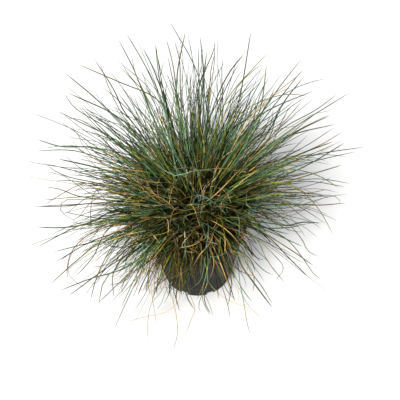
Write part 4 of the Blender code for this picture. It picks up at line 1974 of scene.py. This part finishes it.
@dataclass
class PottingMix:
    """The potting mix: a filled cup shape with a lumpy top, and loose chips of bark on it."""

    layout: FrameLayout
    finish: bpy.types.Material
    chip_finish: bpy.types.Material
    columns: int = 140
    body_rings: int = 14
    top_rings: int = 30
    foot: float = 0.004
    shoulder: float = 0.001
    lumps: float = 0.0011
    chips: int = 620
    chip_seed: int = 15

    def bed(self) -> bpy.types.Mesh:
        """The bed: an outline down the pot's inside, turned about the axis and roughened.

        Returns:
            The mesh.
        """
        layout = self.layout
        inset = layout.wall + 2.0 * layout.touching_gap + 0.0009
        top = layout.mix_top
        body_height = np.linspace(self.foot, top - self.shoulder, self.body_rings)
        body_radius = layout.wall_radius(body_height) - inset
        top_radius = np.linspace(body_radius[-1] - 0.0006, 0.0, self.top_rings)
        radius = np.concatenate(((0.0, body_radius[0] - 0.0022), body_radius, top_radius))
        height = np.concatenate(((inset, inset), body_height, np.full(self.top_rings, top - 0.0004)))
        points = turned(radius, height, self.columns)
        on_top = smooth_step(top - 0.003, top - 0.0005, points[..., 2])
        points[..., 2] += on_top * self.lumps * waves(points, 30, 1300.0, 5)
        return weld(grid_mesh("potting_mix_bed", points))

    def bark(self) -> bpy.types.Mesh:
        """Chips of bark: boxes with moved corners, each scaled, turned and laid on the bed.

        Returns:
            One mesh of them all.
        """
        chance = np.random.default_rng(self.chip_seed)
        count = self.chips
        signs = np.array([(x, y, z) for z in (-1, 1) for y in (-1, 1) for x in (-1, 1)], float)
        size = chance.uniform(0.0005, 0.0017, (count, 1, 1)) * np.array((1.0, 0.62, 0.38))
        shape = (signs[None] + chance.uniform(-0.38, 0.38, (count, 8, 3))) * size
        turns, _ = np.linalg.qr(np.eye(3) + 0.75 * chance.normal(0.0, 1.0, (count, 3, 3)))
        turns[:, :, 0] *= np.sign(np.linalg.det(turns))[:, None]
        shape = np.einsum("nki,nji->nkj", shape, turns)
        inner = self.layout.crown_radius - 0.002
        outer = self.layout.wall_radius(self.layout.mix_top) - self.layout.wall - 0.0016
        radius = np.sqrt(chance.uniform(inner**2, outer**2, count))
        turn = chance.uniform(0.0, TAU, count)
        height = np.full(count, self.layout.mix_top + 0.0006)
        place = np.stack((radius * np.cos(turn), radius * np.sin(turn), height), -1)
        quads = np.array(
            ((0, 2, 3, 1), (4, 5, 7, 6), (0, 1, 5, 4), (2, 6, 7, 3), (0, 4, 6, 2), (1, 3, 7, 5))
        )
        faces = (quads[None] + (np.arange(count) * 8)[:, None, None]).reshape(-1, 4)
        return mesh_of("bark_chips", (shape + place[:, None]).reshape(-1, 3), [faces])

    def build(self) -> None:
        """Make the bed in place of the frame's soil, and the chips on it."""
        add_piece(self.bed(), self.finish, "soil")
        add_piece(self.bark(), self.chip_finish)


@dataclass
class NurseryPot:
    """The thin black pot: one sheet from under the foot to the lip, with a wall's thickness."""

    layout: FrameLayout
    finish: bpy.types.Material
    columns: int = 160
    slots: int = 8
    slot_cells: int = 6
    slot_inner: float = 0.0338
    slot_top: float = 0.005
    ledge_height: float = 0.017
    ledge_step: float = 0.0008
    rounding: float = 0.0011
    corner_steps: int = 5
    pitch: float = 0.0028
    least_pitch: float = 0.00012
    crease: float = math.radians(50.0)

    def outline(self) -> np.ndarray:
        """The outer outline from the middle of the underside up to the lip, with round corners.

        Returns:
            Points of (radius, height).
        """
        layout = self.layout
        band = layout.pot_height - layout.rim_band_height
        ledge = self.ledge_height
        corners = np.array(
            (
                (0.0, 0.0),
                (layout.foot_radius - 0.0012, 0.0),
                (layout.wall_radius(ledge) - self.ledge_step, ledge - 0.0004),
                (layout.wall_radius(ledge), ledge + 0.0006),
                (layout.wall_radius(band), band),
                (layout.rim_radius - 0.0002, band + 0.0004),
                (layout.rim_radius, layout.pot_height),
            )
        )
        return rounded_outline(corners, self.rounding, self.corner_steps)

    def build(self) -> None:
        """Turn the outline, give it thickness and open the drain slots.

        The inner sheet is the outer one moved inwards along its outline's normal by the wall.
        Cells under a slot are left out of both, and a narrow quad joins the two sheets along
        every edge between a kept cell and an open one, and round the lip.
        """
        outline = self.refined(self.outline())
        run = unit(np.gradient(outline, axis=0))
        inward = np.stack((-run[:, 1], run[:, 0]), -1)
        inner = outline + inward * self.layout.wall
        inner[0, 0] = 0.0
        inner[:, 0] = np.maximum(inner[:, 0], 0.0)
        sheets = [turned(line[:, 0], line[:, 1], self.columns) for line in (outline, inner)]
        rows = len(outline)
        offset = rows * self.columns
        cells = grid_quads(rows, self.columns)
        kept = ~self.slot_mask(outline)
        faces = [cells[kept], cells[kept][:, ::-1] + offset]
        lip = np.arange(self.columns) + (rows - 1) * self.columns
        after = np.roll(lip, -1)
        faces.append(np.stack((lip, after, after + offset, lip + offset), -1))
        faces.append(self.slot_walls(cells, kept, offset))
        points = np.concatenate([sheet.reshape(-1, 3) for sheet in sheets])
        mesh = weld(mesh_of("nursery_pot", points, [np.concatenate(faces)]))
        piece = add_piece(mesh, self.finish, "pot")
        piece.data.set_sharp_from_angle(angle=self.crease)

    def refined(self, outline: np.ndarray) -> np.ndarray:
        """Add points to the long straight stretches.

        Args:
            outline: points of (radius, height).

        Returns:
            The outline with a point at least at every pitch.
        """
        steps = np.linalg.norm(np.diff(outline, axis=0), axis=1)
        place = np.concatenate(((0.0,), np.cumsum(steps)))
        wanted = np.unique(np.concatenate((place, np.arange(0.0, place[-1], self.pitch))))
        wanted = wanted[np.diff(wanted, prepend=-1.0) > self.least_pitch]
        return np.stack([np.interp(wanted, place, outline[:, axis]) for axis in (0, 1)], -1)

    def slot_mask(self, outline: np.ndarray) -> np.ndarray:
        """Find the cells of the sheet that are open: those near the foot's corner, at each slot.

        Args:
            outline: points of (radius, height).

        Returns:
            True for an open cell, shape (points - 1, columns).
        """
        middle = (outline[1:] + outline[:-1]) / 2.0
        low = (middle[:, 0] > self.slot_inner) & (middle[:, 1] < self.slot_top)
        pitch = self.columns // self.slots
        place = np.arange(self.columns) % pitch
        first = (pitch - self.slot_cells) // 2
        at_slot = (place >= first) & (place < first + self.slot_cells)
        return low[:, None] & at_slot[None, :]

    def slot_walls(self, cells: np.ndarray, kept: np.ndarray, offset: int) -> np.ndarray:
        """Join the two sheets along each edge of a kept cell beside an open one.

        Args:
            cells: the outer sheet's quads, shape (points - 1, columns, 4).
            kept: which of them are kept.
            offset: what is added to a point's index for its fellow on the inner sheet.

        Returns:
            The quads between the sheets.
        """
        walls = []
        open_cells = ~kept
        beside = {
            (0, 1): np.vstack((np.zeros((1, self.columns), bool), open_cells[:-1])),
            (2, 3): np.vstack((open_cells[1:], np.zeros((1, self.columns), bool))),
            (3, 0): np.roll(open_cells, 1, axis=1),
            (1, 2): np.roll(open_cells, -1, axis=1),
        }
        for (first, second), near_open in beside.items():
            edge = cells[kept & near_open]
            start, end = edge[:, first], edge[:, second]
            walls.append(np.stack((end, start, start + offset, end + offset), -1))
        return np.concatenate(walls)


def rounded_outline(corners: np.ndarray, reach: float, steps: int) -> np.ndarray:
    """Replace each inner corner of an outline by a short curve.

    The curve is the quadratic one that leaves and meets the sides at the reach from the corner,
    or at under half of a shorter side.

    Args:
        corners: points of (radius, height).
        reach: how far from a corner its curve starts.
        steps: pieces in each curve.

    Returns:
        The outline's points.
    """
    pieces = [corners[:1]]
    share = np.linspace(0.0, 1.0, steps + 1)[:, None]
    for before, corner, after in zip(corners[:-2], corners[1:-1], corners[2:]):
        back, ahead = before - corner, after - corner
        cut_back = min(reach, 0.45 * float(np.linalg.norm(back)))
        cut_ahead = min(reach, 0.45 * float(np.linalg.norm(ahead)))
        start = corner + unit(back) * cut_back
        end = corner + unit(ahead) * cut_ahead
        pieces.append(start * (1 - share) ** 2 + corner * 2 * share * (1 - share) + end * share**2)
    pieces.append(corners[-1:])
    return np.concatenate(pieces)


@dataclass
class Studio:
    """The pale floor, the soft lights and the camera at the photograph's viewing angle."""

    view: PhotoView
    floor_size: float = 6.0
    floor_drop: float = 0.0002
    lit_height: float = 0.12
    sensor: float = 36.0
    glow: float = 0.15

    def camera(self) -> None:
        """Place the camera so that the crown falls just left of and below the middle."""
        lens = bpy.data.cameras.new("camera")
        lens.sensor_width = self.sensor
        lens.lens = self.sensor * self.view.distance / self.view.width
        lens.clip_end = 20.0
        camera = link_new("camera", lens)
        camera.location = self.view.eye
        camera.rotation_euler = (math.pi / 2.0 - self.view.elevation, 0.0, 0.0)
        bpy.context.scene.camera = camera

    def floor(self) -> None:
        """Lay the floor, a little below the pot's foot."""
        side = np.linspace(-self.floor_size / 2.0, self.floor_size / 2.0, 5)
        across, along = np.meshgrid(side, side)
        points = np.stack((across, along, np.full_like(across, -self.floor_drop)), -1)
        mesh = grid_mesh("floor", points, wrap=False)
        mesh.materials.append(FloorFinish().material())
        link_new("floor", mesh)

    def light(self, name: str, place: Colour, size: float, power: float, tint: Colour) -> None:
        """Hang one square area light that faces the clump.

        Args:
            name: the light's name.
            place: where it hangs, in metres.
            size: its side.
            power: its power, in watts.
            tint: its colour.
        """
        lamp = bpy.data.lights.new(name, "AREA")
        lamp.shape = "SQUARE"
        lamp.size = size
        lamp.energy = power
        lamp.color = tint
        hung = link_new(name, lamp)
        hung.location = place
        towards = UP * self.lit_height - np.array(place)
        flat = math.hypot(towards[0], towards[1])
        hung.rotation_euler = (math.atan2(flat, -towards[2]), 0.0, math.atan2(-towards[0], towards[1]))

    def surroundings(self) -> None:
        """Give the world an even pale light, and show the camera a white backdrop."""
        world = bpy.data.worlds.new("studio")
        world.use_nodes = True
        tree = world.node_tree
        glow = tree.nodes["Background"]
        glow.inputs[0].default_value = (0.94, 0.96, 1.0, 1.0)
        glow.inputs[1].default_value = self.glow
        backdrop = tree.nodes.new("ShaderNodeBackground")
        backdrop.inputs[0].default_value = (1.0, 1.0, 1.0, 1.0)
        choice = tree.nodes.new("ShaderNodeMixShader")
        seen = tree.nodes.new("ShaderNodeLightPath")
        tree.links.new(seen.outputs["Is Camera Ray"], choice.inputs[0])
        tree.links.new(glow.outputs[0], choice.inputs[1])
        tree.links.new(backdrop.outputs[0], choice.inputs[2])
        tree.links.new(choice.outputs[0], tree.nodes["World Output"].inputs[0])
        bpy.context.scene.world = world

    def build(self) -> None:
        """Set the studio up."""
        bpy.context.scene.view_settings.view_transform = "Standard"
        self.camera()
        self.floor()
        self.surroundings()
        self.light("key", (-0.80, -1.66, 2.3), 0.8, 176.0, (1.0, 0.985, 0.95))
        self.light("fill", (0.9, -0.9, 1.1), 1.0, 4.0, (0.97, 0.98, 1.0))
        self.light("rear", (0.4, 1.9, 1.1), 1.2, 34.0, (0.97, 0.98, 1.0))


def main() -> None:
    """Dress the frame: pot, mix, crown and tufts, then the studio."""
    logging.basicConfig(level=logging.INFO, format="%(name)s %(message)s")
    ageing_and_shade = LeafTints().group()
    crumbs = EarthGroup().group()
    leaf = BladeFinish("fescue_blades", ageing_and_shade).material()
    mix = EarthFinish(
        "peat_and_bark", crumbs, (0.012, 0.008, 0.006), (0.075, 0.045, 0.026), (0.40, 0.36, 0.30)
    )
    bark = EarthFinish(
        "bark_chips", crumbs, (0.025, 0.014, 0.009), (0.13, 0.075, 0.040), (0.45, 0.42, 0.36), relief=0.0004
    )
    # The old sheaths are very dark: partly their own brown, partly painted shade for the shadow deep in the
    # crown.
    thatch = EarthFinish(
        "old_sheaths", crumbs, (0.008, 0.005, 0.003), (0.045, 0.028, 0.013), (0.10, 0.07, 0.035)
    )
    NurseryPot(LAYOUT, DustyPlasticFinish().material()).build()
    PottingMix(LAYOUT, mix.material(), bark.material()).build()
    Crown(LAYOUT, thatch.material(), leaf).build()
    Clump(LAYOUT, leaf).build()
    HangingLeaves(LAYOUT, leaf).build()
    StrayBlades(LAYOUT, leaf).build()
    tracer = BladeTracer(PHOTO_VIEW, LAYOUT)
    SignatureBlades("long_blades", tracer.long_strands(LONG_BLADES), leaf).build()
    SignatureBlades(
        "near_blades",
        tracer.near_strands(NEAR_BLADES),
        leaf,
        tones=(0.50, 0.76),
        span=(0.07, 0.62),
        stoutness=0.70,
    ).build()
    Studio(PHOTO_VIEW).build()


if __name__ == "__main__":
    main()
